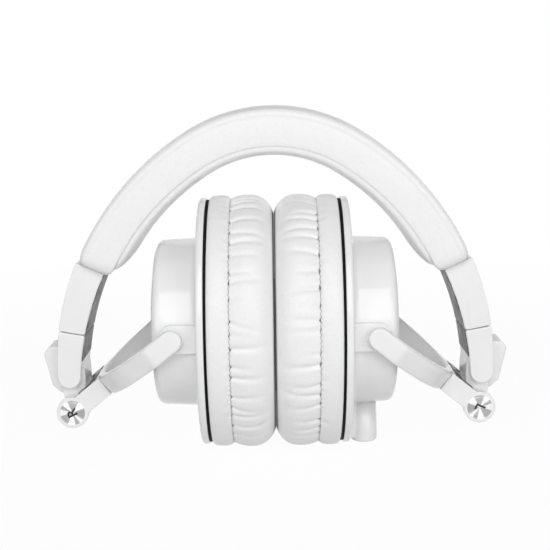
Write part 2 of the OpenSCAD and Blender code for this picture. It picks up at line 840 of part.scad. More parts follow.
// Housing of the cable socket, moulded to the flange under the left can
module jack_housing() {
    web_t = 2 * jack_r - 3;
    color("white") difference() {
        union() {
            translate([jack_x, 0, jack_mouth]) cylinder(r = jack_r, h = cup_z - jack_mouth);
            translate([flange_x + seat, -web_t / 2, jack_mouth + 1.5])
                cube([jack_x - flange_x, web_t, cup_z - jack_mouth - 1.5]);
        }
        on_cup_axis(flange_x - 1) cylinder(r = can_r + seat, h = can_depth + 2);
        translate([0, -cup_depth, cup_z - can_r / 2]) cube([2 * jack_x, 2 * cup_depth, cup_z]);
        socket_pocket();
    }
}

// Metal socket for a 2.5 mm plug
module jack_socket() {
    color("gold") translate([jack_x, 0, jack_mouth + jack_recess]) difference() {
        cylinder(r = socket_r, h = socket_top - jack_mouth - jack_recess);
        translate([0, 0, -eps]) cylinder(r = plug_r, h = plug_depth + eps);
    }
}

headband_cover();
headband_core();
headband_spring();
headband_cushion();
end_cap(1);  // left_end_cap
end_cap(-1);  // right_end_cap
end_plate(1);  // left_end_plate
end_plate(-1);  // right_end_plate
cap_screw(1);  // left_cap_screw
cap_screw(-1);  // right_cap_screw
detent_spring(1);  // left_detent_spring
detent_spring(-1);  // right_detent_spring
slider_strip(1);  // left_slider_strip
slider_strip(-1);  // right_slider_strip
hinge_block(1);  // left_hinge_block
hinge_block(-1);  // right_hinge_block
hump_cover(1);  // left_hump_cover
hump_cover(-1);  // right_hump_cover
hinge_leaf(1);  // left_hinge_leaf
hinge_leaf(-1);  // right_hinge_leaf
hinge_pin(1);  // left_hinge_pin
hinge_pin(-1);  // right_hinge_pin
hinge_discs(1);  // left_hinge_discs
hinge_discs(-1);  // right_hinge_discs
swivel_pin(1);  // left_swivel_pin
swivel_pin(-1);  // right_swivel_pin
yoke(1);  // left_yoke
yoke(-1);  // right_yoke
pivot_bushes(1);  // left_pivot_bushes
pivot_bushes(-1);  // right_pivot_bushes
cup_shell(1);  // left_cup_shell
cup_shell(-1);  // right_cup_shell
back_plate(1);  // left_back_plate
back_plate(-1);  // right_back_plate
baffle(1);  // left_baffle
baffle(-1);  // right_baffle
driver(1);  // left_driver
driver(-1);  // right_driver
driver_grille(1);  // left_driver_grille
driver_grille(-1);  // right_driver_grille
baffle_screws(1);  // left_baffle_screws
baffle_screws(-1);  // right_baffle_screws
damping_foam(1);  // left_damping_foam
damping_foam(-1);  // right_damping_foam
pad_skirt(1);  // left_pad_skirt
pad_skirt(-1);  // right_pad_skirt
ear_cushion(1);  // left_ear_cushion
ear_cushion(-1);  // right_ear_cushion
jack_housing();
jack_socket();
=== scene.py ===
# %% [markdown]
# # White folding headphones
# The headphones stand folded on their two ear cushions, with both cups swung up inside the headband.
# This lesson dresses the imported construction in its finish: soft leatherette, glossy moulded plastic
# and turned metal. Every new piece is a surface worked out with numpy in the construction's own frame:
# X runs to the wearer's left, Y to the back and Z up.

# %% Load the construction
import json

import bmesh
import bpy
import numpy as np
from mathutils import Matrix, Vector


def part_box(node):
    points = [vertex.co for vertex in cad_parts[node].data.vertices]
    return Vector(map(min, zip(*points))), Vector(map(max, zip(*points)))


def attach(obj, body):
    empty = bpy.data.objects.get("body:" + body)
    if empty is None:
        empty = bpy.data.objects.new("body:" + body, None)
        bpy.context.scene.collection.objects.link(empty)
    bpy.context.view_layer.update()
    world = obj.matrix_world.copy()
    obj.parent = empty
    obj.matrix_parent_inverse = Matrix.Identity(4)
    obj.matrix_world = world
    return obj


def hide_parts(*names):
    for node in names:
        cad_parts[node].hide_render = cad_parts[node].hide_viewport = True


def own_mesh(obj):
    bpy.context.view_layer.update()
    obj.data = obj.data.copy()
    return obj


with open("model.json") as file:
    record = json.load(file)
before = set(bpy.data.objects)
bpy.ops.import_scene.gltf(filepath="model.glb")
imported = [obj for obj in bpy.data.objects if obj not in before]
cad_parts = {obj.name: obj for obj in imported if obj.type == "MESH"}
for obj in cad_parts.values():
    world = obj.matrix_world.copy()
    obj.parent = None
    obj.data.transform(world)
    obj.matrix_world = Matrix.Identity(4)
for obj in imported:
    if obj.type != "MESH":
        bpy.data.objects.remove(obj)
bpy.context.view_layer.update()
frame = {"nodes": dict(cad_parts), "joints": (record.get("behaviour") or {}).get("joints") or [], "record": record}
MM = 0.001
SIDES = {"left": 1, "right": -1}
scene = bpy.context.scene

# %% [markdown]
# ## Camera, floor and light
# The photograph looks almost level at the front, from nearly half a metre away with a longish lens.
# The camera comes first, because every later choice is judged through it. One tall soft box stands in
# front, above the camera, and its reflection is the bright patch on the cans; two weaker boxes fill the
# sides, the wearer's left a little more, and two others keep the back from going dark. Little light comes
# from above, so tops and inner faces fall off to grey. A white background could be made with more lamps, but
# they would bleach the object, so the world is white to the rays that look at it and dim to those that light
# the object.
# The floor is pale paper that those rays see almost through: it keeps a faint shadow under the object, and
# when the hinges are folded out, the cups that hang below its level still show and are still lit.

# %% Camera
PICTURE = 550
FOCAL_PIXELS = 1153
SENSOR = 36
VIEW_RISE = np.radians(9.5)
VIEW_ROLL = np.radians(0.8)
VIEW_FAR = 0.455
VIEW_NEAR = 0.01
AIM = Vector((0.0003, 0, 0.0679))

camera = bpy.data.objects.new("camera", bpy.data.cameras.new("camera"))
scene.collection.objects.link(camera)
scene.camera = camera
camera.data.sensor_width = SENSOR
camera.data.lens = FOCAL_PIXELS / PICTURE * SENSOR
camera.data.clip_start = VIEW_NEAR
towards = Vector((0, np.cos(VIEW_RISE), -np.sin(VIEW_RISE)))
turn = Matrix.Rotation(VIEW_ROLL, 4, towards) @ towards.to_track_quat("-Z", "Y").to_matrix().to_4x4()
camera.matrix_world = Matrix.Translation(AIM - VIEW_FAR * towards) @ turn
print("camera lens, mm:", round(camera.data.lens, 1))

# %% Node helpers
def new_tree(name):
    """An empty material with its node tree and output."""
    material = bpy.data.materials.new(name)
    material.use_nodes = True
    tree = material.node_tree
    tree.nodes.clear()
    return material, tree, tree.nodes.new("ShaderNodeOutputMaterial")


def add(tree, kind, values=(), links=(), **settings):
    """A node with its settings, fixed socket values and incoming links, both by socket name or number."""
    node = tree.nodes.new(kind)
    for key, value in settings.items():
        setattr(node, key, value)
    for socket, value in dict(values).items():
        node.inputs[socket].default_value = value
    for socket, source in dict(links).items():
        tree.links.new(source, node.inputs[socket])
    return node


def calc(tree, operation, *operands):
    """The output of a math node; each operand is a fixed number or another node's output."""
    node = tree.nodes.new("ShaderNodeMath")
    node.operation = operation
    for socket, operand in zip(node.inputs, operands):
        if isinstance(operand, bpy.types.NodeSocket):
            tree.links.new(operand, socket)
        else:
            socket.default_value = operand
    return node.outputs[0]


def ramp(tree, value, low, high, first=0.0, smooth=True):
    """A value that runs from first to 1 while the given one runs from low to high."""
    limits = {"From Min": low, "From Max": high, "To Min": first, "To Max": 1.0}
    curve = "SMOOTHSTEP" if smooth else "LINEAR"
    return add(tree, "ShaderNodeMapRange", limits, {"Value": value}, interpolation_type=curve).outputs[0]


def noise(tree, links, values):
    """The value of a noise texture."""
    return add(tree, "ShaderNodeTexNoise", values, links).outputs[0]


def object_place(tree):
    """The piece's own coordinates in metres."""
    return add(tree, "ShaderNodeTexCoord").outputs["Object"]


def any_ray(tree, *kinds):
    """1 for rays of these kinds, as the light path names them, and 0 for the others."""
    path = add(tree, "ShaderNodeLightPath").outputs
    found = path[kinds[0]]
    for kind in kinds[1:]:
        found = calc(tree, "MAXIMUM", found, path[kind])
    return found


SEEN_RAYS = ("Is Camera Ray", "Is Glossy Ray", "Is Transmission Ray")
print("rays that see the background:", SEEN_RAYS)

# %% World
WHITE = (1, 1, 1, 1)
DOME = 0.12

scene.view_settings.view_transform = "Standard"
scene.world = bpy.data.worlds.new("pale_dome")
scene.world.use_nodes = True
sky = scene.world.node_tree
sky.nodes.clear()
level = calc(sky, "MAXIMUM", DOME, any_ray(sky, *SEEN_RAYS))
dome = add(sky, "ShaderNodeBackground", {"Color": WHITE}, {"Strength": level})
add(sky, "ShaderNodeOutputWorld", links={"Surface": dome.outputs[0]})
print("world: white to the view,", DOME, "as light")

# %% Floor
FLOOR_HALF = 4.0
FLOOR_GREY = 0.84
FLOOR_CLEAR = 0.965
FLOOR_FADE = (0.15, 0.6)

floor_mesh = bpy.data.meshes.new("floor")
corners = FLOOR_HALF * np.array([(-1, -1, 0), (1, -1, 0), (1, 1, 0), (-1, 1, 0)])
floor_mesh.from_pydata(corners.tolist(), [], [(0, 1, 2, 3)])
floor = bpy.data.objects.new("floor", floor_mesh)
scene.collection.objects.link(floor)
paper, tree, out = new_tree("floor_paper")
matt = add(tree, "ShaderNodeBsdfDiffuse", {"Color": (FLOOR_GREY, FLOOR_GREY, FLOOR_GREY, 1)})
clear = add(tree, "ShaderNodeBsdfTransparent", {"Color": WHITE})
away = add(tree, "ShaderNodeVectorMath", links={0: object_place(tree)}, operation="LENGTH")
whiten = ramp(tree, away.outputs["Value"], *FLOOR_FADE, FLOOR_CLEAR)
seen = calc(tree, "MULTIPLY", any_ray(tree, *SEEN_RAYS), whiten)
share = calc(tree, "MAXIMUM", seen, any_ray(tree, "Is Shadow Ray"))
mixed = add(tree, "ShaderNodeMixShader", links={0: share, 1: matt.outputs[0], 2: clear.outputs[0]})
tree.links.new(mixed.outputs[0], out.inputs["Surface"])
floor_mesh.materials.append(paper)
print("floor:", 2 * FLOOR_HALF, "m wide")

# %% Lamps
LIT = Vector((0, 0, 0.06))
SOFT_BOXES = {
    "front_box": {"turn": 0, "rise": 31, "away": 1.3, "size": (0.78, 1.0), "power": 7.3},
    "left_box": {"turn": 38, "rise": 15, "away": 1.2, "size": (0.6, 0.8), "power": 3.6},
    "right_box": {"turn": -38, "rise": 15, "away": 1.2, "size": (0.6, 0.8), "power": 2.7},
    "back_left_box": {"turn": 142, "rise": 14, "away": 1.3, "size": (0.8, 0.8), "power": 2.2},
    "back_right_box": {"turn": -142, "rise": 14, "away": 1.3, "size": (0.8, 0.8), "power": 2.2},
}

for name, box in SOFT_BOXES.items():
    lamp = bpy.data.objects.new(name, bpy.data.lights.new(name, "AREA"))
    lamp.data.shape = "RECTANGLE"
    lamp.data.size, lamp.data.size_y = box["size"]
    lamp.data.energy = box["power"]
    turned, rise = np.radians(box["turn"]), np.radians(box["rise"])
    ray = Vector((np.sin(turned) * np.cos(rise), -np.cos(turned) * np.cos(rise), np.sin(rise)))
    lamp.location = LIT + box["away"] * ray
    lamp.rotation_euler = (-ray).to_track_quat("-Z", "Y").to_euler()
    scene.collection.objects.link(lamp)
print("lamps:", len(SOFT_BOXES), "soft boxes")

# %% [markdown]
# ## Finishes
# Only a few materials make up the headphones. A moulded part is never quite flat or evenly glossy, metal
# carries fine lines from its cutting, and leatherette has a pressed grain. These effects are node groups,
# built once and placed in each material with values of their own. A picture could be wrapped round each
# piece instead, but a formula in the piece's own coordinates has no seams and never gets blurred.

# %% Node groups
FINE_SHARE = 0.12
GRAIN_BEND = (0.0006, 0.0006, 0.0006)
VALLEY = (0.35, 0.75)
LINE_DRAW = (0.04, 1, 1)


def new_group(name, inputs, outputs):
    """An empty shader node group with float inputs, given with their defaults, and named outputs."""
    group = bpy.data.node_groups.new(name, "ShaderNodeTree")
    for label, value in inputs.items():
        socket = group.interface.new_socket(label, in_out="INPUT", socket_type="NodeSocketFloat")
        socket.default_value = value
    for label in outputs:
        group.interface.new_socket(label, in_out="OUTPUT", socket_type="NodeSocketFloat")
    return group, group.nodes.new("NodeGroupInput").outputs, group.nodes.new("NodeGroupOutput").inputs


def moulded_skin_group():
    """Slow waviness of a moulded wall with a finer texture over it, as a roughness and a height."""
    inputs = {"Scale": 60, "Gloss": 0.22, "Spread": 0.08}
    group, given, made = new_group("moulded_skin", inputs, ("Roughness", "Height"))
    place = object_place(group)
    slow = noise(group, {"Vector": place, "Scale": given["Scale"]}, {"Detail": 2.0})
    fine = noise(group, {"Vector": place}, {"Scale": 2600.0, "Detail": 2.0})
    group.links.new(calc(group, "MULTIPLY_ADD", slow, given["Spread"], given["Gloss"]), made["Roughness"])
    group.links.new(calc(group, "MULTIPLY_ADD", fine, FINE_SHARE, slow), made["Height"])
    return group


def pressed_grain_group():
    """Pebbles of a pressed grain: a height, and a mask that is 1 in the valleys between them. The pebbles are
    the cells of a Voronoi pattern, pushed about by a noise."""
    group, given, made = new_group("pressed_grain", {"Scale": 1100}, ("Height", "Valley"))
    place = object_place(group)
    bend = add(group, "ShaderNodeTexNoise", {"Scale": 500.0, "Detail": 1.0}, {"Vector": place})
    links = {0: bend.outputs["Color"]}
    shift = add(group, "ShaderNodeVectorMath", {1: GRAIN_BEND}, links, operation="MULTIPLY")
    moved = add(group, "ShaderNodeVectorMath", links={0: place, 1: shift.outputs[0]}, operation="ADD")
    links = {"Vector": moved.outputs[0], "Scale": given["Scale"]}
    cells = add(group, "ShaderNodeTexVoronoi", links=links, feature="SMOOTH_F1").outputs["Distance"]
    group.links.new(calc(group, "SUBTRACT", 1.0, cells), made["Height"])
    group.links.new(ramp(group, cells, *VALLEY, smooth=False), made["Valley"])
    return group


def cut_lines_group():
    """Fine parallel lines left by a cutting or rolling tool, drawn out along X: a roughness and a height."""
    inputs = {"Scale": 3000, "Gloss": 0.25, "Spread": 0.15}
    group, given, made = new_group("cut_lines", inputs, ("Roughness", "Height"))
    drawn = add(group, "ShaderNodeMapping", {"Scale": LINE_DRAW}, {"Vector": object_place(group)})
    lines = noise(group, {"Vector": drawn.outputs[0], "Scale": given["Scale"]}, {"Detail": 3.0})
    group.links.new(calc(group, "MULTIPLY_ADD", lines, given["Spread"], given["Gloss"]), made["Roughness"])
    group.links.new(lines, made["Height"])
    return group


SKIN = moulded_skin_group()
GRAIN = pressed_grain_group()
LINES = cut_lines_group()
print("node groups:", [g.name for g in (SKIN, GRAIN, LINES)])

# %% Shader helpers
def shade(tree, out, values, links):
    """A Principled shader with constants on its own sockets, joined to the output."""
    shader = add(tree, "ShaderNodeBsdfPrincipled", values, links)
    tree.links.new(shader.outputs[0], out.inputs["Surface"])


def effect(tree, group, **values):
    """The outputs of a node group placed in a material with its own values."""
    node = add(tree, "ShaderNodeGroup", node_tree=group)
    for label, value in values.items():
        node.inputs[label].default_value = value
    return node.outputs


def bump(tree, height, strength, distance):
    """A normal from a height; distance is the real depth in metres."""
    depth = {"Strength": strength, "Distance": distance}
    return add(tree, "ShaderNodeBump", depth, {"Height": height}).outputs[0]


def two_tone(tree, mask, dark, light):
    """Colour that goes from dark to light with the mask."""
    mix = add(tree, "ShaderNodeMix", links={"Factor": mask}, data_type="RGBA")
    mix.inputs[6].default_value = (*dark, 1)
    mix.inputs[7].default_value = (*light, 1)
    return mix.outputs[2]


print("shader helpers ready")

# %% Plastic and leatherette
def plastic(name, dark, light, gloss, spread, shine=0.5):
    """Moulded plastic: a little uneven in tone and gloss, with a faint waviness. A shine of 0.5 is a full
    reflection."""
    material, tree, out = new_tree(name)
    skin = effect(tree, SKIN, Gloss=gloss, Spread=spread)
    shade(tree, out, {"IOR": 1.49, "Specular IOR Level": shine}, {
        "Base Color": two_tone(tree, skin["Height"], dark, light),
        "Roughness": skin["Roughness"],
        "Normal": bump(tree, skin["Height"], strength=0.12, distance=0.00006),
    })
    return material


# How much darker the grain's valleys are than its pebbles.
VALLEY_DARKENING = 0.03


def leatherette(name, dark, light, scale, rough):
    """Pressed synthetic leather: pale pebbles, a little darker in the valleys between them, and painted shade
    where a point attribute asks for it, along seams and round the cushions' faces.
    """
    material, tree, out = new_tree(name)
    grain = effect(tree, GRAIN, Scale=scale)
    skin = effect(tree, SKIN, Gloss=rough, Spread=0.12)
    painted_shade = add(tree, "ShaderNodeAttribute", attribute_name="painted_shade").outputs["Fac"]
    # The grain's valleys darken the colour a little; the point attribute adds painted shade.
    depth = calc(tree, "MULTIPLY_ADD", grain["Valley"], VALLEY_DARKENING, painted_shade)
    depth.node.use_clamp = True
    shade(tree, out, {"IOR": 1.45, "Sheen Weight": 0.06}, {
        "Base Color": two_tone(tree, depth, light, dark),
        "Roughness": skin["Roughness"],
        "Normal": bump(tree, grain["Height"], strength=0.1, distance=0.0001),
    })
    return material


print("soft and moulded finishes ready")

# %% Metals
LINE_DARK = 0.82
# Painted reflection: light and dark wedges round each disc, one wave each of given rays, phase and size.
GLINT_WAVES = ((3, 0.4, 0.6), (5, 2.1, 0.7), (8, 1.0, 0.35))
GLINT_EDGE = 0.35
RING_DRAW = (1.5, 90, 1)
STREAK_DRAW = (900.0, 900.0, 40.0)
STREAK_TURN = (0.25, 0.0, 0.0)
STREAK_EDGE = (0.35, 0.75)


def metal(name, colour, gloss, spread, scale=3000.0):
    """Bare metal with fine tool lines."""
    material, tree, out = new_tree(name)
    lines = effect(tree, LINES, Scale=scale, Gloss=gloss, Spread=spread)
    darker = tuple(LINE_DARK * c for c in colour)
    shade(tree, out, {"Metallic": 1.0}, {
        "Base Color": two_tone(tree, lines["Height"], darker, colour),
        "Roughness": lines["Roughness"],
        "Normal": bump(tree, lines["Height"], strength=0.1, distance=0.00003),
    })
    return material


def turned_metal(name, dark, light, gloss):
    """Metal faced on a lathe: rings in its UV map stretch every highlight into rays from the middle. On top, light
    and dark wedges are painted into the base colour as a painted reflection of the spun face: a sum of three
    sine waves round the disc, cut to two tones. Each wave has its number of rays, its phase and its size."""
    material, tree, out = new_tree(name)
    place = add(tree, "ShaderNodeUVMap", uv_map="turned").outputs[0]
    drawn = add(tree, "ShaderNodeMapping", {"Scale": RING_DRAW}, {"Vector": place}).outputs[0]
    rings = noise(tree, {"Vector": drawn}, {"Scale": 1.0, "Detail": 2.0})
    around = add(tree, "ShaderNodeTangent", direction_type="UV_MAP", uv_map="turned").outputs[0]
    fan = add(tree, "ShaderNodeSeparateXYZ", links={0: place}).outputs[0]
    # Painted reflection of the spun face, summed as waves round the disc and cut to two tones below.
    rays = 0.0
    for number, phase, size in GLINT_WAVES:
        angle = calc(tree, "MULTIPLY_ADD", fan, 2 * np.pi * number, phase)
        rays = calc(tree, "MULTIPLY_ADD", calc(tree, "SINE", angle), size, rays)
    painted_glint = ramp(tree, rays, -GLINT_EDGE, GLINT_EDGE)
    spun = {"Metallic": 0.6, "Roughness": gloss, "Anisotropic": 0.9, "Anisotropic Rotation": 0.25}
    shade(tree, out, spun, {
        "Base Color": two_tone(tree, painted_glint, dark, light),
        "Normal": bump(tree, rings, strength=0.1, distance=0.00002),
        "Tangent": around,
    })
    return material


def streaked_shade_metal(name, dark, light, gloss):
    """Dark sheet finish, partly metallic: its reflection is real, but its dark ground is painted shade and the
    long pale streaks, cut from noise stretched along the arm, are painted highlights.
    """
    material, tree, out = new_tree(name)
    stretch = {"Scale": STREAK_DRAW, "Rotation": STREAK_TURN}
    drawn = add(tree, "ShaderNodeMapping", stretch, {"Vector": object_place(tree)}).outputs[0]
    height = noise(tree, {"Vector": drawn}, {"Scale": 1.0, "Detail": 3.0, "Distortion": 0.6})
    shade(tree, out, {"Metallic": 0.7, "Roughness": gloss, "Specular IOR Level": 0.2}, {
        "Base Color": two_tone(tree, ramp(tree, height, *STREAK_EDGE), dark, light),
        "Normal": bump(tree, height, strength=0.1, distance=0.00003),
    })
    return material


print("metal finishes ready")

# %% Finishes by slot
WHITE_TONE = (0.9, 0.9, 0.905)
FINISH = {
    "white_plastic": plastic("white_plastic", (0.87, 0.87, 0.875), WHITE_TONE, gloss=0.08, spread=0.07),
    # The leatherette's dark tone is what its painted shade and grain valleys darken towards.
    "white_leatherette": leatherette(
        "white_leatherette", (0.03, 0.03, 0.031), WHITE_TONE, scale=1150.0, rough=0.36),
    "black_plastic": plastic(
        "black_plastic", (0.004, 0.004, 0.004), (0.008, 0.008, 0.008), gloss=0.6, spread=0.1, shine=0.08),
    "core_plastic": plastic("core_plastic", (0.17, 0.17, 0.17), (0.22, 0.22, 0.22), gloss=0.5, spread=0.15),
    "steel": metal("steel", (0.66, 0.66, 0.68), gloss=0.18, spread=0.16),
    # The turned discs' dark and light tones are those of the painted reflection wedges.
    "turned_metal": turned_metal("turned_metal", (0.42, 0.42, 0.425), (0.95, 0.95, 0.95), gloss=0.34),
    "driver_metal": metal("driver_metal", (0.12, 0.12, 0.13), gloss=0.35, spread=0.2),
    "grey_felt": leatherette("grey_felt", (0.22, 0.22, 0.23), (0.38, 0.38, 0.39), scale=3500.0, rough=0.85),
    "gold_contact": metal("gold_contact", (0.8, 0.62, 0.3), gloss=0.2, spread=0.12),
}
MARK_INK = plastic("mark_ink", (0.01, 0.01, 0.01), (0.02, 0.02, 0.02), gloss=0.5, spread=0.1)
# Painted shade for the inner faces of arms and leaves: a dark ground with pale streaks of painted highlight.
PAINTED_SHADE_LINER = streaked_shade_metal("painted_shade_liner", (0.03, 0.03, 0.032), (0.4, 0.4, 0.41), gloss=0.48)
slots = {part["node"]: part["material_slot"] for part in frame["record"]["subparts"]}
for node, piece in frame["nodes"].items():
    piece.data.materials.clear()
    piece.data.materials.append(FINISH[slots[node]])
print("finishes:", len(FINISH), "on", len(slots), "nodes")

# %% [markdown]
# ## Tools for surfaces
# A shape here is a grid of points worked out in one go: two parameters, one formula. A grid can close on
# itself like a ring, or be capped at its ends. A flat moulded part is an outline with its rim turned over
# a small radius, because a real moulding has no knife edges and it is the rim that catches the light.

# %% Surface tools
FLAT_FIRST = 80
NEARLY_STRAIGHT = 1.5


def grid_shell(grid, wrap_u=False, wrap_v=False, cap_u=False):
    """Points and faces of a grid of points; wrapping joins its last row or column to the first."""
    rows, columns = grid.shape[:2]
    index = np.arange(rows * columns).reshape(rows, columns)
    mesh = np.vstack([index, index[:1]]) if wrap_u else index
    mesh = np.hstack([mesh, mesh[:, :1]]) if wrap_v else mesh
    quads = np.stack([mesh[:-1, :-1], mesh[1:, :-1], mesh[1:, 1:], mesh[:-1, 1:]], -1).reshape(-1, 4).tolist()
    ends = [index[0].tolist(), index[-1][::-1].tolist()] if cap_u else []
    return grid.reshape(-1, 3), quads + ends


def make_piece(name, shells, slot, body, side=1, stands_for=(), painted_shade=None, turned=None, even=False):
    """A mesh in metres from shells of millimetre points, mirrored for the wearer's right, on its body."""
    points, faces, start = [], [], 0
    for shell_points, shell_faces in shells:
        points.append(shell_points)
        faces += [[corner + start for corner in face] for face in shell_faces]
        start += len(shell_points)
    points = np.concatenate(points) * (MM * np.array([side, 1, 1]))
    mesh = bpy.data.meshes.new(name)
    mesh.from_pydata(points.tolist(), [], faces)
    if turned is not None:
        corners = np.zeros(len(mesh.loops), np.int32)
        mesh.loops.foreach_get("vertex_index", corners)
        mesh.uv_layers.new(name="turned").data.foreach_set("uv", turned[corners].astype(np.float32).ravel())
    # Painted shade on the points, which darkens the leatherette's colour at seams and round the cushions' faces.
    if painted_shade is not None:
        tone = mesh.attributes.new("painted_shade", "FLOAT", "POINT")
        tone.data.foreach_set("value", painted_shade.astype(np.float32).ravel())
    work = bmesh.new()
    work.from_mesh(mesh)
    bmesh.ops.recalc_face_normals(work, faces=work.faces)
    work.to_mesh(mesh)
    work.free()
    mesh.shade_smooth()
    mesh.materials.append(FINISH[slot])
    piece = bpy.data.objects.new(name, mesh)
    scene.collection.objects.link(piece)
    if even:
        piece.modifiers.new("even_shading", "WEIGHTED_NORMAL").weight = FLAT_FIRST
    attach(piece, body)
    if stands_for:
        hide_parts(*stands_for)
    print(f"{name}: {len(mesh.polygons)} faces")
    return piece


def arc(centre, radius, start, end, count):
    """Points on a circle's arc, angles in degrees."""
    a = np.radians(np.linspace(start, end, count))
    return np.asarray(centre) + radius * np.stack([np.cos(a), np.sin(a)], -1)


def rounded_corners(corners, radii, steps=6):
    """Closed outline whose corners become arcs: each arc touches both edges, as far from the corner as its
    radius times the tangent of half its turn. A radius of 0 keeps the point."""
    corners = np.asarray(corners, float)
    back = np.roll(corners, 1, 0) - corners
    ahead = np.roll(corners, -1, 0) - corners
    back /= np.linalg.norm(back, axis=1, keepdims=True)
    ahead /= np.linalg.norm(ahead, axis=1, keepdims=True)
    outline = []
    for point, b, f, radius in zip(corners, back, ahead, np.broadcast_to(radii, len(corners))):
        half = 0.5 * np.arccos(np.clip(b @ f, -1, 1))
        if radius == 0 or half > NEARLY_STRAIGHT:
            outline.append(point[None])
            continue
        middle = point + (b + f) / np.linalg.norm(b + f) * radius / np.sin(half)
        first = point + b * radius / np.tan(half) - middle
        last = point + f * radius / np.tan(half) - middle
        share = np.linspace(0, 1, steps)[:, None]
        bend = first * (1 - share) + last * share
        outline.append(middle + radius * bend / np.linalg.norm(bend, axis=1, keepdims=True))
    return np.concatenate(outline)


def rounded_slab(outline, low, high, edge, place, steps=5):
    """Plate with this outline between the depths low and high, whose rim turns over a quarter circle of
    radius edge at both faces. place turns outline x, depth and outline y into points."""
    outline = np.asarray(outline, float)
    ahead = np.roll(outline, -1, 0) - outline
    ahead /= np.linalg.norm(ahead, axis=1, keepdims=True)
    behind = np.roll(ahead, 1, 0)
    area = np.sum(outline[:, 0] * np.roll(outline[:, 1], -1) - np.roll(outline[:, 0], -1) * outline[:, 1])
    inward = np.sign(area) * np.array([[-1, 1]]) * (ahead + behind)[:, ::-1]
    inward /= np.maximum(0.5 * np.sum((ahead + behind) ** 2, 1, keepdims=True), 0.5)
    a = np.linspace(0, np.pi / 2, steps + 1)
    edge = np.broadcast_to(edge, len(outline))
    inset = (1 - np.sin(a))[:, None] * edge
    lift = (1 - np.cos(a))[:, None] * edge
    inset = np.concatenate([inset, inset[::-1]])
    depth = np.concatenate([low + lift, high - lift[::-1]])
    flat = outline + inset[..., None] * inward
    return grid_shell(place(flat[..., 0], depth, flat[..., 1]), wrap_v=True, cap_u=True)


def upright(x, y, z):
    """Outline x to the side and y up, depth to the back."""
    return np.stack(np.broadcast_arrays(x, y, z), -1)


def lathe(radii, heights, place, count=96):
    """A profile of radii and heights turned about its axis; place sets radius-wise x and y and the height."""
    a = np.linspace(0, 2 * np.pi, count, endpoint=False)
    r = np.asarray(radii, float)[:, None]
    h = np.asarray(heights, float)[:, None]
    return grid_shell(place(r * np.cos(a), r * np.sin(a), h + 0 * a), wrap_v=True, cap_u=True)


def quarter(r_from, h_from, r_to, h_to, steps=6):
    """Quarter ellipse between two profile points, leaving the first along the radius."""
    a = np.linspace(0, np.pi / 2, steps)
    return r_from + (r_to - r_from) * np.sin(a), h_from + (h_to - h_from) * (1 - np.cos(a))


def power(value, p):
    """Superellipse coordinate: the sign kept and the size raised to 2 / p."""
    return np.sign(value) * np.abs(value) ** (2 / p)


print("tools ready: grids, slabs and turned profiles")

# %% [markdown]
# ## Measures from the frame
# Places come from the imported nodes' boxes and from the joints, so each new piece lands on what carries it.
# The few sizes that no box shows, such as the arcs of the arm, are named here in millimetres.

# %% Measures
def span(node):
    """Lowest and highest corner of a node in millimetres."""
    low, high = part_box(node)
    return np.array(low) / MM, np.array(high) / MM


joints = {joint["name"]: joint for joint in frame["joints"]}
hinge = np.array(joints["left_fold"]["pos_m"]) / MM
pivot = np.array(joints["left_tilt"]["pos_m"]) / MM
shell_low, shell_high = span("left_cup_shell")
pad_low, pad_high = span("left_ear_cushion")
baffle_low = span("left_baffle")[0]
band_high = span("headband_cover")[1]

FLANGE = 2.9
CAN_R = 33.0
RIM = np.array([shell_high[2] - shell_low[2], shell_high[1] - shell_low[1]]) / 2
cup_z = (shell_low[2] + shell_high[2]) / 2
flange_x = shell_low[0] + FLANGE

ARM_R = 107.6
ARM_OUT = 5.4
ARM_RISE = 16.4
ARM_FOOT = 8.8
ARM_TAPER = 8.8
ARM_HALF = 12.0
SPLIT_RISE = 31.0
SPLIT_GAP = 0.4
LEAN = np.radians(10)
ACROSS = np.array([np.cos(LEAN), np.sin(LEAN)])
UP = np.array([-np.sin(LEAN), np.cos(LEAN)])

CROWN_R = 64.0
WRAP_END = 23.6
BAND_HALF = band_high[1]
BAND_T = 14.9

side_c = np.array([hinge[0] + ARM_OUT - ARM_R, hinge[2] + ARM_RISE])
inner_c = side_c - [ARM_FOOT, ARM_TAPER]
crown_a = np.degrees(np.arcsin(-side_c[0] / (ARM_R - CROWN_R)))
crown_c = np.array([0, side_c[1] + (ARM_R - CROWN_R) * np.cos(np.radians(crown_a))])
print("hinge", hinge.round(2), "pivot", pivot.round(2), "rim", RIM, "crown angle", round(crown_a, 2))

# %% [markdown]
# ## Headband wrap
# The wrap is leatherette pulled over a moulded core: soft edges, a slightly crowned top, and faces that
# tuck in at the seam where the head pad is sewn on. It could be draped as cloth, but it is stretched so tight
# that only its seam puckers, so it is one section carried along the arch. Near each end the section draws
# in, so the wrap closes round the arm like the end of a sleeve.

# %% Arch
CLOSE_TURN = 4


def arch_place(turn, depth, y):
    """Points of the arch: turn is the angle of its outer face, 90 at the crown, and depth runs inwards."""
    turn, depth, y = np.broadcast_arrays(turn, depth, y)
    on_crown = np.abs(turn - 90) <= crown_a
    flip = np.where(turn > 90, -1.0, 1.0)
    radius = np.where(on_crown, CROWN_R, ARM_R) - depth
    x = np.where(on_crown, 0.0, flip * side_c[0]) + radius * np.cos(np.radians(turn))
    z = np.where(on_crown, crown_c[1], side_c[1]) + radius * np.sin(np.radians(turn))
    return np.stack([x, y, z], -1)


def end_distance(turn, end):
    """Millimetres along the arch's outer face from a point to the nearer end, straight through the crown."""
    lean = np.minimum(turn, 180 - turn)
    crown_turn = 90 - crown_a
    on_side = np.radians(np.minimum(lean, crown_turn) - end) * ARM_R
    on_crown = np.radians(np.maximum(lean - crown_turn, 0)) * CROWN_R
    return on_side + on_crown


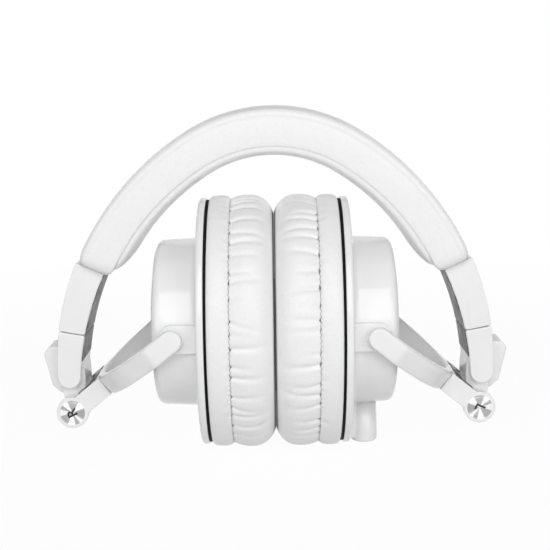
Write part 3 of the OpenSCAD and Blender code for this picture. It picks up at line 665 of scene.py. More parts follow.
def drawn_in(distance, over):
    """0 along the arch, rising to 1 over this distance at the ends in a quarter circle."""
    return 1 - np.sqrt(1 - (1 - np.clip(distance / over, 0, 1)) ** 2)


def arch_turns(end, count, close=9):
    """Angles along the arch, closer together at the rounded ends."""
    inner = np.linspace(end + CLOSE_TURN, 180 - CLOSE_TURN - end, count)
    first = end + CLOSE_TURN * np.linspace(0, 1, close, endpoint=False) ** 2
    return np.concatenate([first, inner, 180 - first[::-1]])


print("wrap's length, mm:", round(2 * float(end_distance(90, WRAP_END)), 1))

# %% Wrap section
WRAP_ROUND = 2.6
WRAP_CROWN = 0.9
WRAP_SWELL = 0.3
SEAM_TUCK = 0.45
TUCK_FROM = 0.82


def wrap_section(count=15):
    """Section as depth and y, from seam to seam over the top. Half of it is worked out and mirrored: the
    crowned top, a quarter circle at the edge, and the swelling side that tucks in at the seam."""
    top_y = np.linspace(0, BAND_HALF - WRAP_ROUND, count)
    top = np.stack([WRAP_CROWN * (top_y / BAND_HALF) ** 2, top_y], -1)
    sag = top[-1, 0]
    a = np.linspace(0, np.pi / 2, 10)[1:]
    edge = np.stack([sag + WRAP_ROUND * (1 - np.cos(a)), BAND_HALF - WRAP_ROUND * (1 - np.sin(a))], -1)
    d = np.linspace(0, 1, 22)[1:]
    side_depth = edge[-1, 0] + (BAND_T - edge[-1, 0]) * d
    tuck = SEAM_TUCK * np.clip((d - TUCK_FROM) / (1 - TUCK_FROM), 0, 1) ** 2
    side = np.stack([side_depth, BAND_HALF - WRAP_SWELL + WRAP_SWELL * np.sin(np.pi * d) - tuck], -1)
    half = np.concatenate([top, edge, side])
    return np.concatenate([half[::-1] * [1, -1], half[1:]])


print("wrap section:", len(wrap_section()), "points")

# %% Wrap
WRAP_MOUTH = WRAP_END + 0.1
MOUTH_RUN = 5.5
MOUTH_DEEP = 2.9
MOUTH_SIDE = 3.2
PUCKER_EVERY = 3.1
PUCKER_DRIFT = 1.5
WRAP_PUCKER = 0.1
PUCKER_ABOVE = 1.6
PUCKER_WIDE = 1.3
SEAM_WIDE = 0.5
# Darkness of the painted shade along the headband's seam.
SEAM_SHADE = 0.22


def pucker_wave(far):
    """Waves along a seam, one every few millimetres, that slowly drift so that no two are the same width."""
    along = far / PUCKER_EVERY
    return np.sin(2 * np.pi * along + PUCKER_DRIFT * np.sin(along))


turns = arch_turns(WRAP_MOUTH, 150)[:, None]
far = end_distance(turns, WRAP_MOUTH)
draw = drawn_in(far, MOUTH_RUN)
flat_depth, flat_y = wrap_section().T[:, None, :]
depth = flat_depth + MOUTH_DEEP * draw * np.clip(1 - flat_depth / (BAND_T / 2), -1, 1)
wide = flat_y * (1 - MOUTH_SIDE * draw / BAND_HALF)
near_seam = np.exp(-((BAND_T - PUCKER_ABOVE - flat_depth) / PUCKER_WIDE) ** 2)
wide = wide - np.sign(wide) * WRAP_PUCKER * near_seam * pucker_wave(far)
wrap_grid = arch_place(turns, depth, wide)
# Painted shade along the seam where the head pad is sewn on.
sewn = SEAM_SHADE * np.clip((flat_depth - BAND_T + SEAM_WIDE) / SEAM_WIDE, 0, 1)
wrap_painted_shade = np.broadcast_to(sewn, wrap_grid.shape[:2])
wrap = make_piece("headband_wrap", [grid_shell(wrap_grid, wrap_v=True, cap_u=True)], "white_leatherette",
                  "headband", stands_for=("headband_cover",), painted_shade=wrap_painted_shade)

# %% [markdown]
# ## Head pad
# Under the wrap lies a thin padded strip. It is fullest along its middle, rolls over at both edges and
# dives into the seam, where the sewing pulls it into small puckers. Cloth would hardly swell so thin a strip,
# so its section is half a superellipse, and the puckers are waves along the seam.

# %% Head pad
PAD_HALF = BAND_HALF - 0.1
PAD_END = WRAP_END + 2.2
PAD_DEEP = 3.9
PAD_FULL = 3.3
PAD_RUN = 13.0
PAD_THIN = 0.95
PAD_NARROW = 3.0
PAD_SINK = 0.15
PAD_PUCKER = 0.16
PUCKER_SHARE = 0.45
ROOF_SINK = 0.3
ROOF_SHARE = 0.94
HEM_SHARE = 0.12

pad_turns = arch_turns(PAD_END, 150)[:, None]
pad_far = end_distance(pad_turns, PAD_END)
pad_draw = drawn_in(pad_far, PAD_RUN)
a = np.linspace(0, np.pi, 41)[None, :]
roll_y, roll_t = power(np.cos(a), PAD_FULL), power(np.sin(a), PAD_FULL)
dimple = PAD_PUCKER * np.exp(-(roll_t / PUCKER_SHARE) ** 2) * pucker_wave(pad_far)
pad_depth = BAND_T - PAD_SINK + PAD_DEEP * roll_t * (1 - PAD_THIN * pad_draw)
pad_wide = roll_y * (PAD_HALF - PAD_NARROW * pad_draw + dimple)
under = arch_place(pad_turns, pad_depth, pad_wide)
roof = arch_place(pad_turns, BAND_T - ROOF_SINK, pad_wide[:, -2:0:-1] * ROOF_SHARE)
pad_grid = np.concatenate([under, roof], 1)
# Painted shade along the pad's edges, where they dive into the seam.
pad_painted_shade = np.zeros(pad_grid.shape[:2])
pad_painted_shade[:, :under.shape[1]] = SEAM_SHADE * np.clip(1 - roll_t / HEM_SHARE, 0, 1)
head_pad = make_piece("head_pad", [grid_shell(pad_grid, wrap_v=True, cap_u=True)], "white_leatherette",
                      "headband", stands_for=("headband_cushion",), painted_shade=pad_painted_shade)

# %% [markdown]
# ## Ear cushions
# A ring of foam in leatherette, sewn to a narrow skirt. The cover is cut longer than the seam that it is
# sewn to, so the sewing gathers it: short folds run from the seam over the shoulder and fade on the face.
# The plump ring is blown up with a cloth simulation, run on an enlarged copy because cloth of a few
# millimetres hardly moves, and the gathers are added afterwards, because they are finer than the simulated
# mesh. A dark band of painted shade runs round where the flat face starts, standing in for the shade in the
# crevice between the two pressed cushions. Each cushion is flattened where it meets the other, so that two
# folded cups press together and never cut into each other.

# %% Padded ring
def ring_place(turn, x, out):
    """Points round the ear: turn goes round from the top, out is the distance past the rim's outline."""
    turn, x, out = np.broadcast_arrays(turn, x, out)
    return np.stack([x, (RIM[1] + out) * np.sin(turn), cup_z + (RIM[0] + out) * np.cos(turn)], -1)


EAR_WIDE = 19.6
CUSHION_OUT = 0.85
CUSHION_CROWN = 0.5
CUSHION_FULL = 2.05
CUSHION_SHARES = (6, 9, 5, 4)
SHOULDER = 0.4
HIDDEN = 9
SEAM_OUT = -1.1
seam_x = pad_high[0]
face_x = 0.03


def cushion_section(fine):
    """Closed section of the cushion: seam to crown, crown to face, face to the inner hem, and back to the
    seam along the baffle. Each of the first three is a quarter of an ellipse or of a fuller oval, with
    fine times its share of points. Returns x, the distance past the rim, and how far round each point is,
    from 0 at the seam to 1 at the face, and more past it."""
    seam, face, hem, back = (np.linspace(0, 1, fine * share, endpoint=False) for share in CUSHION_SHARES)
    crown_x = seam_x - CUSHION_CROWN * (seam_x - face_x)
    half = EAR_WIDE / 2
    a, b, c = seam * np.pi / 2, face * np.pi / 2, hem * np.pi / 2
    x = [crown_x + (seam_x - crown_x) * np.cos(a),
         crown_x - (crown_x - face_x) * power(np.sin(b), CUSHION_FULL),
         crown_x - (crown_x - face_x) * power(np.cos(c), CUSHION_FULL),
         crown_x + (seam_x - crown_x) * np.minimum(2 * back, 1)]
    out = [SEAM_OUT + (CUSHION_OUT - SEAM_OUT) * np.sin(a),
           CUSHION_OUT - half * (1 - power(np.cos(b), CUSHION_FULL)),
           CUSHION_OUT - half * (1 + power(np.sin(c), CUSHION_FULL)),
           CUSHION_OUT - 2 * half + (SEAM_OUT - CUSHION_OUT + 2 * half) * np.clip(2 * back - 1, 0, 1)]
    round_it = [SHOULDER * seam, SHOULDER + (1 - SHOULDER) * face, HIDDEN + 0 * hem, HIDDEN + 0 * back]
    return tuple(np.concatenate(part)[None, :] for part in (x, out, round_it))


def section_normal(x, out):
    """Unit directions that point out of a closed section, across its run from point to point."""
    dx = np.roll(x, -1, 1) - np.roll(x, 1, 1)
    dout = np.roll(out, -1, 1) - np.roll(out, 1, 1)
    size = np.maximum(np.hypot(dx, dout), 1e-9)
    return dout / size, -dx / size


SIM_SCALE = 30
SEWN_DEEP = 0.6


def swollen(turns, frames=15, push=4.0, most=0.9):
    """How far each point of a coarse cushion swells under the pressure of its foam, in millimetres along
    x and outwards. The back is held where it is sewn on, and no point moves further than most. The ring is
    simulated larger than life, because the cloth's springs suit pieces of a metre or more."""
    turn = np.linspace(0, 2 * np.pi, turns, endpoint=False)[:, None]
    x, out, _ = cushion_section(1)
    rest = ring_place(turn, x, out)
    points, faces = grid_shell(rest, wrap_u=True, wrap_v=True)
    mesh = bpy.data.meshes.new("swelling")
    mesh.from_pydata((points * MM * SIM_SCALE).tolist(), [], faces)
    blank = bpy.data.objects.new("swelling", mesh)
    scene.collection.objects.link(blank)
    sewn = blank.vertex_groups.new(name="sewn")
    held = np.flatnonzero(rest[..., 0].ravel() > seam_x - SEWN_DEEP)
    sewn.add(held.tolist(), 1.0, "REPLACE")
    cloth = blank.modifiers.new("foam", "CLOTH")
    cloth.settings.vertex_group_mass = "sewn"
    cloth.settings.use_pressure = True
    cloth.settings.uniform_pressure_force = push
    cloth.settings.effector_weights.gravity = 0
    cloth.settings.quality = 6
    for number in range(1, frames + 1):
        scene.frame_set(number)
    shape = blank.evaluated_get(bpy.context.evaluated_depsgraph_get()).data
    moved = np.zeros(3 * len(points))
    shape.vertices.foreach_get("co", moved)
    scene.frame_set(1)
    bpy.data.objects.remove(blank)
    step = moved.reshape(rest.shape) / (MM * SIM_SCALE) - rest
    size = np.linalg.norm(step, axis=-1, keepdims=True)
    step *= np.minimum(size, most) / np.maximum(size, 1e-9)
    outwards = step[..., 1] * np.sin(turn) + step[..., 2] * np.cos(turn)
    print("cushion swells by", round(float(size.max()), 2), "mm, kept to", most)
    return step[..., 0], outwards


def resample(values, turns, sides):
    """A periodic grid drawn out to more points, by filling its spectrum with zeros."""
    spectrum = np.fft.fft2(values)
    wide = np.zeros((turns, sides), complex)
    u, v = (np.fft.fftfreq(n, 1 / n).astype(int) for n in values.shape)
    wide[np.ix_(u, v)] = spectrum
    return np.fft.ifft2(wide).real * turns * sides / values.size


SIM_TURNS = 96
SWELL_X, SWELL_OUT = swollen(SIM_TURNS)

# %% Gathers
GATHERS = 50
GATHER_DEEP = 1.5
GATHER_STRAY = 0.32
GATHER_SIZES = (0.3, 1.0)
GATHER_RUNS = (0.45, 0.9)
GATHER_SLANT = 0.05
GATHER_WIDE = (0.014, 0.032)
GATHER_SWELL = (0.5, 0.9)
GATHER_FADE = 1.2
STITCHES = 140
STITCH_WAVE = 0.2


def gather_depth(turn, fade, seed):
    """Valleys that start at the seam, widen and fade out over the shoulder. fade is 0 at the seam and 1 at
    the face. Each valley is a bell curve across, with its own place, depth, length and slant, drawn from a
    seeded list."""
    draw = np.random.default_rng(seed)
    places = (np.arange(GATHERS) + draw.uniform(-GATHER_STRAY, GATHER_STRAY, GATHERS)) * 2 * np.pi / GATHERS
    depths = draw.uniform(*GATHER_SIZES, GATHERS)
    lengths = draw.uniform(*GATHER_RUNS, GATHERS)
    slants = draw.normal(0, GATHER_SLANT, GATHERS)
    wide = GATHER_WIDE[0] + GATHER_WIDE[1] * fade
    swell = GATHER_SWELL[0] + GATHER_SWELL[1] * np.sqrt(fade)
    depth = np.zeros(np.broadcast_shapes(turn.shape, fade.shape))
    for place, deep, length, slant in zip(places, depths, lengths, slants):
        away = np.angle(np.exp(1j * (turn - place - slant * fade)))
        run = np.clip(1 - fade / length, 0, 1)
        depth += deep * np.exp(-(away / wide) ** 2) * run ** GATHER_FADE * swell
    return depth


def stitch_wave(turn):
    """Small even waves of a sewn edge, in millimetres along x."""
    return STITCH_WAVE * np.sin(STITCHES * turn)


print("gathers:", GATHERS, "and", STITCHES, "stitches round each cushion")

# %% Cushions
CUSHION_TURNS = 980
CUSHION_FINE = 3
CUSHION_SEEDS = {"left": 11, "right": 4}
STITCH_REACH = 0.08
SEAM_REACH = 0.05
# Darkness of the painted shade along the cushion's seam.
SEAM_SHADE_DARK = 0.4
# Band of painted shade where the face starts, for the crevice between the two pressed cushions: its reach from the
# face, softness and darkness.
GAP_SHADE_BAND = (0.06, 0.65)
GAP_SHADE_SOFT = 0.2
GAP_SHADE_DARK = 0.88


def cushion_painted_shade(points, fade):
    """How dark the cover is painted, from 0 to 1: painted shade along the seam, and a band of painted shade where
    the face starts, for the shade in the crevice between the two pressed cushions.
    """
    sewn = SEAM_SHADE_DARK * np.exp(-(fade / SEAM_REACH) ** 2)
    from_face = points[..., 0]
    gap_shade = np.clip((GAP_SHADE_BAND[1] - from_face) / GAP_SHADE_SOFT, 0, 1) * (from_face > GAP_SHADE_BAND[0])
    return np.maximum(sewn, np.where(fade < 1, GAP_SHADE_DARK * gap_shade, 0))


def ear_cushion(label, side, seed):
    """Fine ring: the swollen section, minus the gathers, flattened where it stands on the table."""
    turn = np.linspace(0, 2 * np.pi, CUSHION_TURNS, endpoint=False)[:, None]
    x, out, fade = cushion_section(CUSHION_FINE)
    normal_x, normal_out = section_normal(x, out)
    pleats = GATHER_DEEP * np.where(fade < 1, gather_depth(turn, np.minimum(fade, 1), seed), 0)
    stitched = np.exp(-(fade / STITCH_REACH) ** 2) * stitch_wave(turn)
    x = x + resample(SWELL_X, *pleats.shape) - pleats * normal_x + stitched
    out = out + resample(SWELL_OUT, *pleats.shape) - pleats * normal_out
    points = ring_place(turn, x, out)
    points[..., 0] = np.maximum(points[..., 0], face_x)
    points[..., 2] = np.maximum(points[..., 2], pad_low[2])
    shell = grid_shell(points, wrap_u=True, wrap_v=True)
    piece = make_piece(f"{label}_cushion", [shell], "white_leatherette", f"{label}_cup", side,
                       (f"{label}_ear_cushion",), painted_shade=cushion_painted_shade(points, fade))
    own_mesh(piece)


for label, side in SIDES.items():
    ear_cushion(label, side, CUSHION_SEEDS[label])

# %% [markdown]
# ## Pad skirts
# Behind the seam a shallow padded skirt hugs the baffle, with small puckers where the seam pulls at it. It
# could be a bevelled band, but a bevel is the same on both sides, and the skirt falls off more gently towards
# the baffle. Its section is two quarters of superellipses that meet at the crown.

# %% Skirts
SKIRT_OUT = 0.75
SKIRT_WIDE = 9.4
SKIRT_CROWN = 0.5
SKIRT_DROP = 1.6
SKIRT_REACH = 0.25
SKIRT_FULL = (2.2, 2.4)
SKIRT_WAVES = (31, 46, 59, 73)
WAVE_SIZES = (0.3, 1)
WAVE_PHASES = (0, 6)
SKIRT_PUCKER = 0.3
SKIRT_SEEDS = {"left": 21, "right": 22}
SEAM_SHARE = 0.03
skirt_end = baffle_low[0]


def skirt_section():
    """Section as x and the distance past the rim: from the seam up to its crown, down to the baffle, and back
    inside. The third value is the crown's x."""
    a = np.linspace(0, np.pi / 2, 14)
    b = a[1:]
    rising, falling = SKIRT_FULL
    crown_x = seam_x + SKIRT_CROWN * (skirt_end - seam_x)
    x = [crown_x - (crown_x - seam_x) * power(np.cos(a), rising),
         crown_x + (skirt_end - crown_x) * power(np.sin(b), falling),
         [skirt_end, seam_x]]
    out = [SEAM_OUT + (SKIRT_OUT - SEAM_OUT) * power(np.sin(a), rising),
           SKIRT_OUT - SKIRT_DROP * (1 - power(np.cos(b), falling)),
           [-SKIRT_WIDE, -SKIRT_WIDE]]
    return np.concatenate(x)[None, :], np.concatenate(out)[None, :], crown_x


def pad_skirt(label, side, seed):
    """Ring with a low padded section. Small puckers, a sum of random sine waves, run from the seam."""
    turn = np.linspace(0, 2 * np.pi, CUSHION_TURNS, endpoint=False)[:, None]
    x, out, crown_x = skirt_section()
    to_seam = np.clip((crown_x - x) / (crown_x - seam_x), 0, 1) * (out > -SKIRT_WIDE)
    to_end = np.clip((x - crown_x) / (skirt_end - crown_x), 0, 1)
    draw = np.random.default_rng(seed)
    waves = [draw.uniform(*WAVE_SIZES) * np.sin(n * turn + draw.uniform(*WAVE_PHASES)) for n in SKIRT_WAVES]
    out = out - SKIRT_PUCKER * sum(waves) / 2 * to_seam ** 1.2 * (1 - to_seam ** 6)
    x = x + to_seam ** 8 * stitch_wave(turn) + SKIRT_REACH * to_end * np.sin(turn) ** 2
    points = ring_place(turn, x, out)
    # Painted shade along the seam.
    sewn = SEAM_SHADE_DARK * np.clip((to_seam - 1) / SEAM_SHARE + 1, 0, 1)
    shell = grid_shell(points, wrap_u=True, wrap_v=True)
    piece = make_piece(f"{label}_skirt", [shell], "white_leatherette", f"{label}_cup", side,
                       (f"{label}_pad_skirt",), painted_shade=np.broadcast_to(sewn, points.shape[:2]))


for label, side in SIDES.items():
    pad_skirt(label, side, SKIRT_SEEDS[label])

# %% [markdown]
# ## Cup shells
# One glossy moulding per cup: an oval flange that runs through a small cove into the round can, with a
# rounded back rim. The flat bosses that carry the yoke are D-shaped pads on both sides of the can. An oval
# and a cylinder could be joined and bevelled, but a bevel makes no even cove between an oval and a circle.
# So each row of the grid is an oval, and the rows blend from the rim's oval to the can's circle.

# %% Cup shell
RIM_ROUND = 1.35
COVE = 2.2
COVE_LIFT = 0.15
COVE_RUN = 1.0
BLEND_FROM = 0.15
BACK_ROUND = 3.2
BACK_PLATE_R = 26.0
DRAFT = 0.5
INNER_LIP = ((0, -4.0), (0, -0.35), (0.12, -0.12), (0.4, 0))
PLATE_SEAT = ((0, BACK_PLATE_R + 0.35), (0.8, BACK_PLATE_R + 0.15), (0.9, 4.0))
back_x = shell_high[0]


def shell_rows():
    """Rows of the shell as x, blend from the oval (0) to the can (1), and distance out from that outline: the
    inner lip, the round rim, the flange, the cove, the wall, the round back edge and the plate's seat."""
    rim_out, rim_x = quarter(-RIM_ROUND, flange_x, 0, flange_x - RIM_ROUND, 7)
    rows = [(shell_low[0] + x, 0, out) for x, out in INNER_LIP]
    rows += [(x, 0, out) for out, x in zip(rim_out[::-1], rim_x[::-1])]
    blends = np.linspace(BLEND_FROM, 1, 7)
    rows += [(flange_x + COVE_LIFT * b, b, b * COVE - (1 - b) * RIM_ROUND) for b in blends]
    a = np.linspace(0, np.pi / 2, 8)[1:]
    rows += [(flange_x + COVE_LIFT + COVE * (1 - np.cos(t)), 1, COVE * (1 - np.sin(t))) for t in a]
    wall = np.linspace(flange_x + COVE + COVE_RUN, back_x - BACK_ROUND, 6)
    rows += [(x, 1, -DRAFT * (x - wall[0]) / (wall[-1] - wall[0])) for x in wall]
    rows += [(back_x - BACK_ROUND * (1 - np.sin(t)), 1, -DRAFT - BACK_ROUND * (1 - np.cos(t))) for t in a]
    rows += [(back_x - deep, 1, radius - CAN_R) for deep, radius in PLATE_SEAT]
    return np.array(rows)


def cup_body():
    """The oval-to-round shell as one capped grid."""
    x, blend, out = (column[:, None] for column in shell_rows().T)
    a = np.linspace(0, 2 * np.pi, 240, endpoint=False)[None, :]
    high = (1 - blend) * RIM[0] + blend * CAN_R + out
    deep = (1 - blend) * RIM[1] + blend * CAN_R + out
    grid = np.stack(np.broadcast_arrays(x, deep * np.sin(a), cup_z + high * np.cos(a)), -1)
    return grid_shell(grid, wrap_v=True, cap_u=True)


print("shell rows:", len(shell_rows()))

# %% Yoke bosses
BOSS_Y = 34.6
BOSS_FOOT = 29.0
BOSS_HALF = 5.4
BOSS_END = 4.8
BOSS_EDGE = 0.55
BOSS_SINK = 0.5
TIP_RING = (4.75, 5.25)
RING_HIGH = 0.16
RING_LIFT = 0.02


def tip_ring(back):
    """Fine raised ring round the yoke's tip: a small oval section turned about the tilt axis."""
    a = np.linspace(0, 2 * np.pi, 16, endpoint=False)[:, None]
    t = np.linspace(0, 2 * np.pi, 64, endpoint=False)[None, :]
    inner, outer = TIP_RING
    r = (inner + outer) / 2 + (outer - inner) / 2 * np.cos(a)
    y = BOSS_Y + RING_LIFT + RING_HIGH * np.sin(a)
    grid = upright(pivot[0] + r * np.cos(t), back * y, cup_z + r * np.sin(t))
    return grid_shell(grid, wrap_u=True, wrap_v=True)


def pivot_boss(back):
    """D-shaped flat pad for the yoke's tip, round at one end and sunk into the flange at the other."""
    end = pivot[[0, 2]] + np.array([BOSS_END, BOSS_HALF]) * arc((0, 0), 1, -90, 90, 25)
    foot = flange_x - BOSS_SINK
    outline = np.concatenate([end, [[foot, cup_z + BOSS_HALF], [foot, cup_z - BOSS_HALF]]])
    return rounded_slab(outline, BOSS_FOOT, BOSS_Y, BOSS_EDGE, lambda x, y, z: upright(x, back * y, z))


for label, side in SIDES.items():
    shells = [cup_body(), pivot_boss(-1), tip_ring(-1), pivot_boss(1), tip_ring(1)]
    make_piece(f"{label}_shell", shells, "white_plastic", f"{label}_cup", side, (f"{label}_cup_shell",))

# %% [markdown]
# ## Back plates, discs and screws
# These pieces are all turned: the shallow plate in the can's back with its fine groove, the bright discs in
# the hinge ears, and the small domed screw on each arm. They could be cylinders with bevels, but a profile
# swept about an axis, as on a lathe, puts each groove and radius where a turner would.

# %% Back plates
# Radius, and height from the face: domed middle, groove, rolled rim and underside.
PLATE_PROFILE = np.array([
    (0.2, 0.0), (12, -0.05), (20, -0.15), (22.4, -0.2),
    (22.9, -0.4), (23.3, -0.55), (23.7, -0.4), (24.1, -0.2),
    (25.2, -0.22), (25.7, -0.32), (25.95, -0.5), (26, -0.8),
    (25.9, -1.5), (0.2, -1.5),
])
plate_face = span("left_back_plate")[1][0]


def along_x(u, v, h):
    """Turned about the cup's axis, height along X."""
    return np.stack([h, u, cup_z + v], -1)


def back_plate(label, side):
    """Plate with a gently domed middle, a groove and a rolled rim."""
    radii, heights = PLATE_PROFILE.T
    shell = lathe(radii, plate_face + heights, along_x, 160)
    make_piece(f"{label}_back", [shell], "white_plastic", f"{label}_cup", side,
               (f"{label}_back_plate",), even=True)


print("back plate's face at x", round(plate_face, 2), "mm")

# %% Hinge discs
DISC_R = 4.85
# Radius, and height from the ear's face: shallow cone, rim groove and edge.
DISC_PROFILE = np.array([
    (0.05, -0.02), (0.6, 0), (1.4, 0.02), (2.4, 0.05), (3.4, 0.08), (4.2, 0.1),
    (4.3, 0.03), (4.42, 0.03), (4.5, 0.1),
    (4.75, 0.1), (DISC_R, 0.03), (DISC_R, -0.6),
])
ear_face = span("left_hinge_discs")[1][1]


def disc_mesh(facing):
    """Turned disc whose UV map gives the turn round the disc as u and the distance from the middle as v."""
    r, h = DISC_PROFILE.T[..., None]
    a = np.linspace(0, 2 * np.pi, 129)[None, :]
    grid = upright(hinge[0] + r * np.cos(a), facing * (ear_face + h), hinge[2] + r * np.sin(a))
    uv = np.stack(np.broadcast_arrays(a / (2 * np.pi), r / DISC_R), -1).reshape(-1, 2)
    return grid_shell(grid, cap_u=True), uv


def hinge_discs(label, side):
    """The two discs of one hinge, front and back."""
    front, uv = disc_mesh(-1)
    back, _ = disc_mesh(1)
    make_piece(f"{label}_discs", [front, back], "turned_metal", f"{label}_leaf", side,
               (f"{label}_hinge_discs",), turned=np.concatenate([uv, uv]))


print("disc's face at y", round(ear_face, 2), "mm")

# %% Cap screws
SCREW_SINK = 0.25
# Radius, and height from the arm's face: low dome and shank.
SCREW_PROFILE = np.array([
    (0.05, 0.3), (0.7, 0.28), (1.2, 0.2), (1.5, 0.05), (1.65, -0.15),
    (1.7, -0.4), (1.7, -2.0),
])
screw_low, screw_high = span("left_cap_screw")
screw_head = np.array([screw_high[0], (screw_low[2] + screw_high[2]) / 2]) - SCREW_SINK * ACROSS


def into_arm(u, v, h):
    """Turned about the screw's axis, which leans with the arm, height along it."""
    x = screw_head[0] + h * ACROSS[0] + v * UP[0]
    z = screw_head[1] + h * ACROSS[1] + v * UP[1]
    return np.stack([x, u, z], -1)


def cap_screw(label, side):
    """Low domed screw head on the arm's outer face."""
    shell = lathe(*SCREW_PROFILE.T, into_arm, 32)
    make_piece(f"{label}_screw", [shell], "steel", "headband", side, (f"{label}_cap_screw",))


for label, side in SIDES.items():
    back_plate(label, side)
    hinge_discs(label, side)
    cap_screw(label, side)

# %% [markdown]
# ## Arms
# Below the wrap each arm is a stack of glossy mouldings: the two halves of the end cap, then the hinge
# block that slides out of it, with its round tongue in front and a narrower neck behind that flares into
# the hinge. They could be cut from blocks and bevelled, but an outline with its rim turned over has the same
# soft edge everywhere. Two long arcs bound the cap and the block, so the arm reads as one sweep. The inner
# faces carry thin strips of painted shade: a dark finish with pale streaks of painted highlight, between
# the white edges.

# %% Arm outlines
def arc_x(centre, z):
    """Where a side arc about this centre lies at height z."""
    return centre[0] + np.sqrt(ARM_R ** 2 - (z - centre[1]) ** 2)


def meets_arc(point, direction, centre):
    """The outer point where a line meets the side arc about this centre."""
    away = np.asarray(point) - centre
    half = away @ direction
    return np.asarray(point) + direction * (-half + np.sqrt(half ** 2 - away @ away + ARM_R ** 2))


def arc_between(centre, start, end, count=9):
    """Points of the side arc from one point to another."""
    angles = [np.degrees(np.arctan2(*(p - centre)[::-1])) for p in (start, end)]
    return arc(centre, ARM_R, *angles, count)


STRIP_IN = 2.6
CAP_TURN = np.radians(WRAP_END - 0.2)
split_z = hinge[2] + SPLIT_RISE
split_x = (arc_x(side_c, split_z) + arc_x(inner_c, split_z)) / 2
strip_foot = np.array([split_x - STRIP_IN, split_z])
cap_foot = strip_foot + UP * SPLIT_GAP / 2
block_top = strip_foot - UP * SPLIT_GAP / 2
end_dir = np.array([np.cos(CAP_TURN), np.sin(CAP_TURN)])
cap_top_out = side_c + ARM_R * end_dir
cap_top_in = meets_arc(side_c, end_dir, inner_c)
slope = cap_top_out - cap_top_in
share = np.cross(cap_foot - cap_top_in, UP) / np.cross(slope, UP)
part_top = cap_top_in + share * slope
print("cap from", cap_foot.round(1), "to", cap_top_out.round(1), "parting share", round(float(share), 2))

# %% End caps
EDGE = 0.5
CORNER = 0.7
PARTING = 0.06
PARTING_REACH = 0.3
PLUG_TURN = (WRAP_END - 1.5, WRAP_END + 4)
PLUG_DEPTH = (2.4, 11.4)
PLUG_HALF = 11.2
PLUG_EDGE = 0.3


def cap_plug():
    """The stub of the end cap that goes up into the wrap, between two arcs of the arm."""
    outer = arc(side_c, ARM_R - PLUG_DEPTH[0], *PLUG_TURN, 6)
    inner = arc(side_c, ARM_R - PLUG_DEPTH[1], *PLUG_TURN[::-1], 6)
    return rounded_slab(np.concatenate([outer, inner]), -PLUG_HALF, PLUG_HALF, PLUG_EDGE, upright)


def end_cap_half(label, side, outside):
    """Outer or inner half of the end cap; its rim is fine along the parting line and soft elsewhere."""
    centre = side_c if outside else inner_c
    foot = meets_arc(cap_foot, ACROSS, centre)
    top = cap_top_out if outside else cap_top_in
    face = arc_between(centre, foot, top)
    corners = np.concatenate([face, [part_top, cap_foot]])
    radii = np.zeros(len(corners))
    radii[[0, len(face) - 1]] = CORNER
    outline = rounded_corners(corners, radii)
    gap = np.abs(np.cross(outline - cap_foot, UP))
    edge = np.where(gap < PARTING_REACH, PARTING, EDGE)
    shells = [rounded_slab(outline, -ARM_HALF, ARM_HALF, edge, upright)]
    if outside:
        shells.append(cap_plug())
    name = "end_cap" if outside else "end_plate"
    make_piece(f"{label}_{name}_moulding", shells, "white_plastic", "headband", side,
               (f"{label}_{name}",), even=True)


print("cap rim", EDGE, "mm, along the parting line", PARTING, "mm")

# %% Hinge blocks
TONGUE_RISE = 14.0
NECK_HALF = 8.0
NECK_EDGE = 0.45
KNUCKLE_R = 5.9
KNUCKLE_TURN = (131, 409)
NECK_RISE = (4.6, 6, 8, 10, 12, 14, 17, 22)
NECK_IN = (3.8, 4.1, 4.5, 4.8, 4.9, 4.8, 4.5, 3.4)
NECK_OUT = (3.8, 4.0, 4.4, 4.8, 4.9, 4.9, 4.9, 4.9)


def hinge_block(label, side):
    """The sliding foot of the arm: a slab with a round tongue, and behind it a narrower neck, waisted above
    the knuckle and flaring inwards to the arm."""
    z = hinge[2] + TONGUE_RISE
    out, inn = arc_x(side_c, z), arc_x(inner_c, z)
    tongue = arc(((out + inn) / 2, z), (out - inn) / 2, 0, -180, 21)
    top_out = meets_arc(block_top, ACROSS, side_c)
    top_in = meets_arc(block_top, ACROSS, inner_c)
    outer = arc_between(side_c, top_out, tongue[0], 6)[:-1]
    inner = arc_between(inner_c, tongue[-1], top_in, 6)[1:]
    corners = np.concatenate([outer, tongue, inner])
    radii = np.zeros(len(corners))
    radii[[0, -1]] = CORNER
    arm = rounded_slab(rounded_corners(corners, radii), -ARM_HALF, ARM_HALF, EDGE, upright)
    rise = np.linspace(NECK_RISE[0], NECK_RISE[-1], 24)
    widths = (np.interp(rise, NECK_RISE, NECK_OUT), -np.interp(rise, NECK_RISE, NECK_IN))
    right, left = (np.stack([hinge[0] + x, hinge[2] + rise], -1) for x in widths)
    knuckle = arc(hinge[[0, 2]], KNUCKLE_R, *KNUCKLE_TURN, 40)
    outline = np.concatenate([knuckle, right, left[::-1]])
    neck = rounded_slab(outline, -NECK_HALF, NECK_HALF, NECK_EDGE, upright)
    make_piece(f"{label}_hinge_moulding", [arm, neck], "white_plastic", f"{label}_slider", side,
               (f"{label}_hinge_block",), even=True)


print("neck is", 2 * NECK_HALF, "mm wide, the arm", 2 * ARM_HALF, "mm")

# %% Hump covers
HUMP_HALF = 7.0
HUMP_EDGE = 0.9
HUMP_SINK = 2.0
HUMP_TOP_SLANT = (1.9, 0.5)
HUMP_SHOULDER = 3.2
HUMP_FOOT_SLANT = (3.0, 3.0)
HUMP_TOE = 0.4
HUMP_ROUND = (0, 1.2, 1.2, 1.4, 1.1, 0)
hump_low, hump_high = span("left_hump_cover")


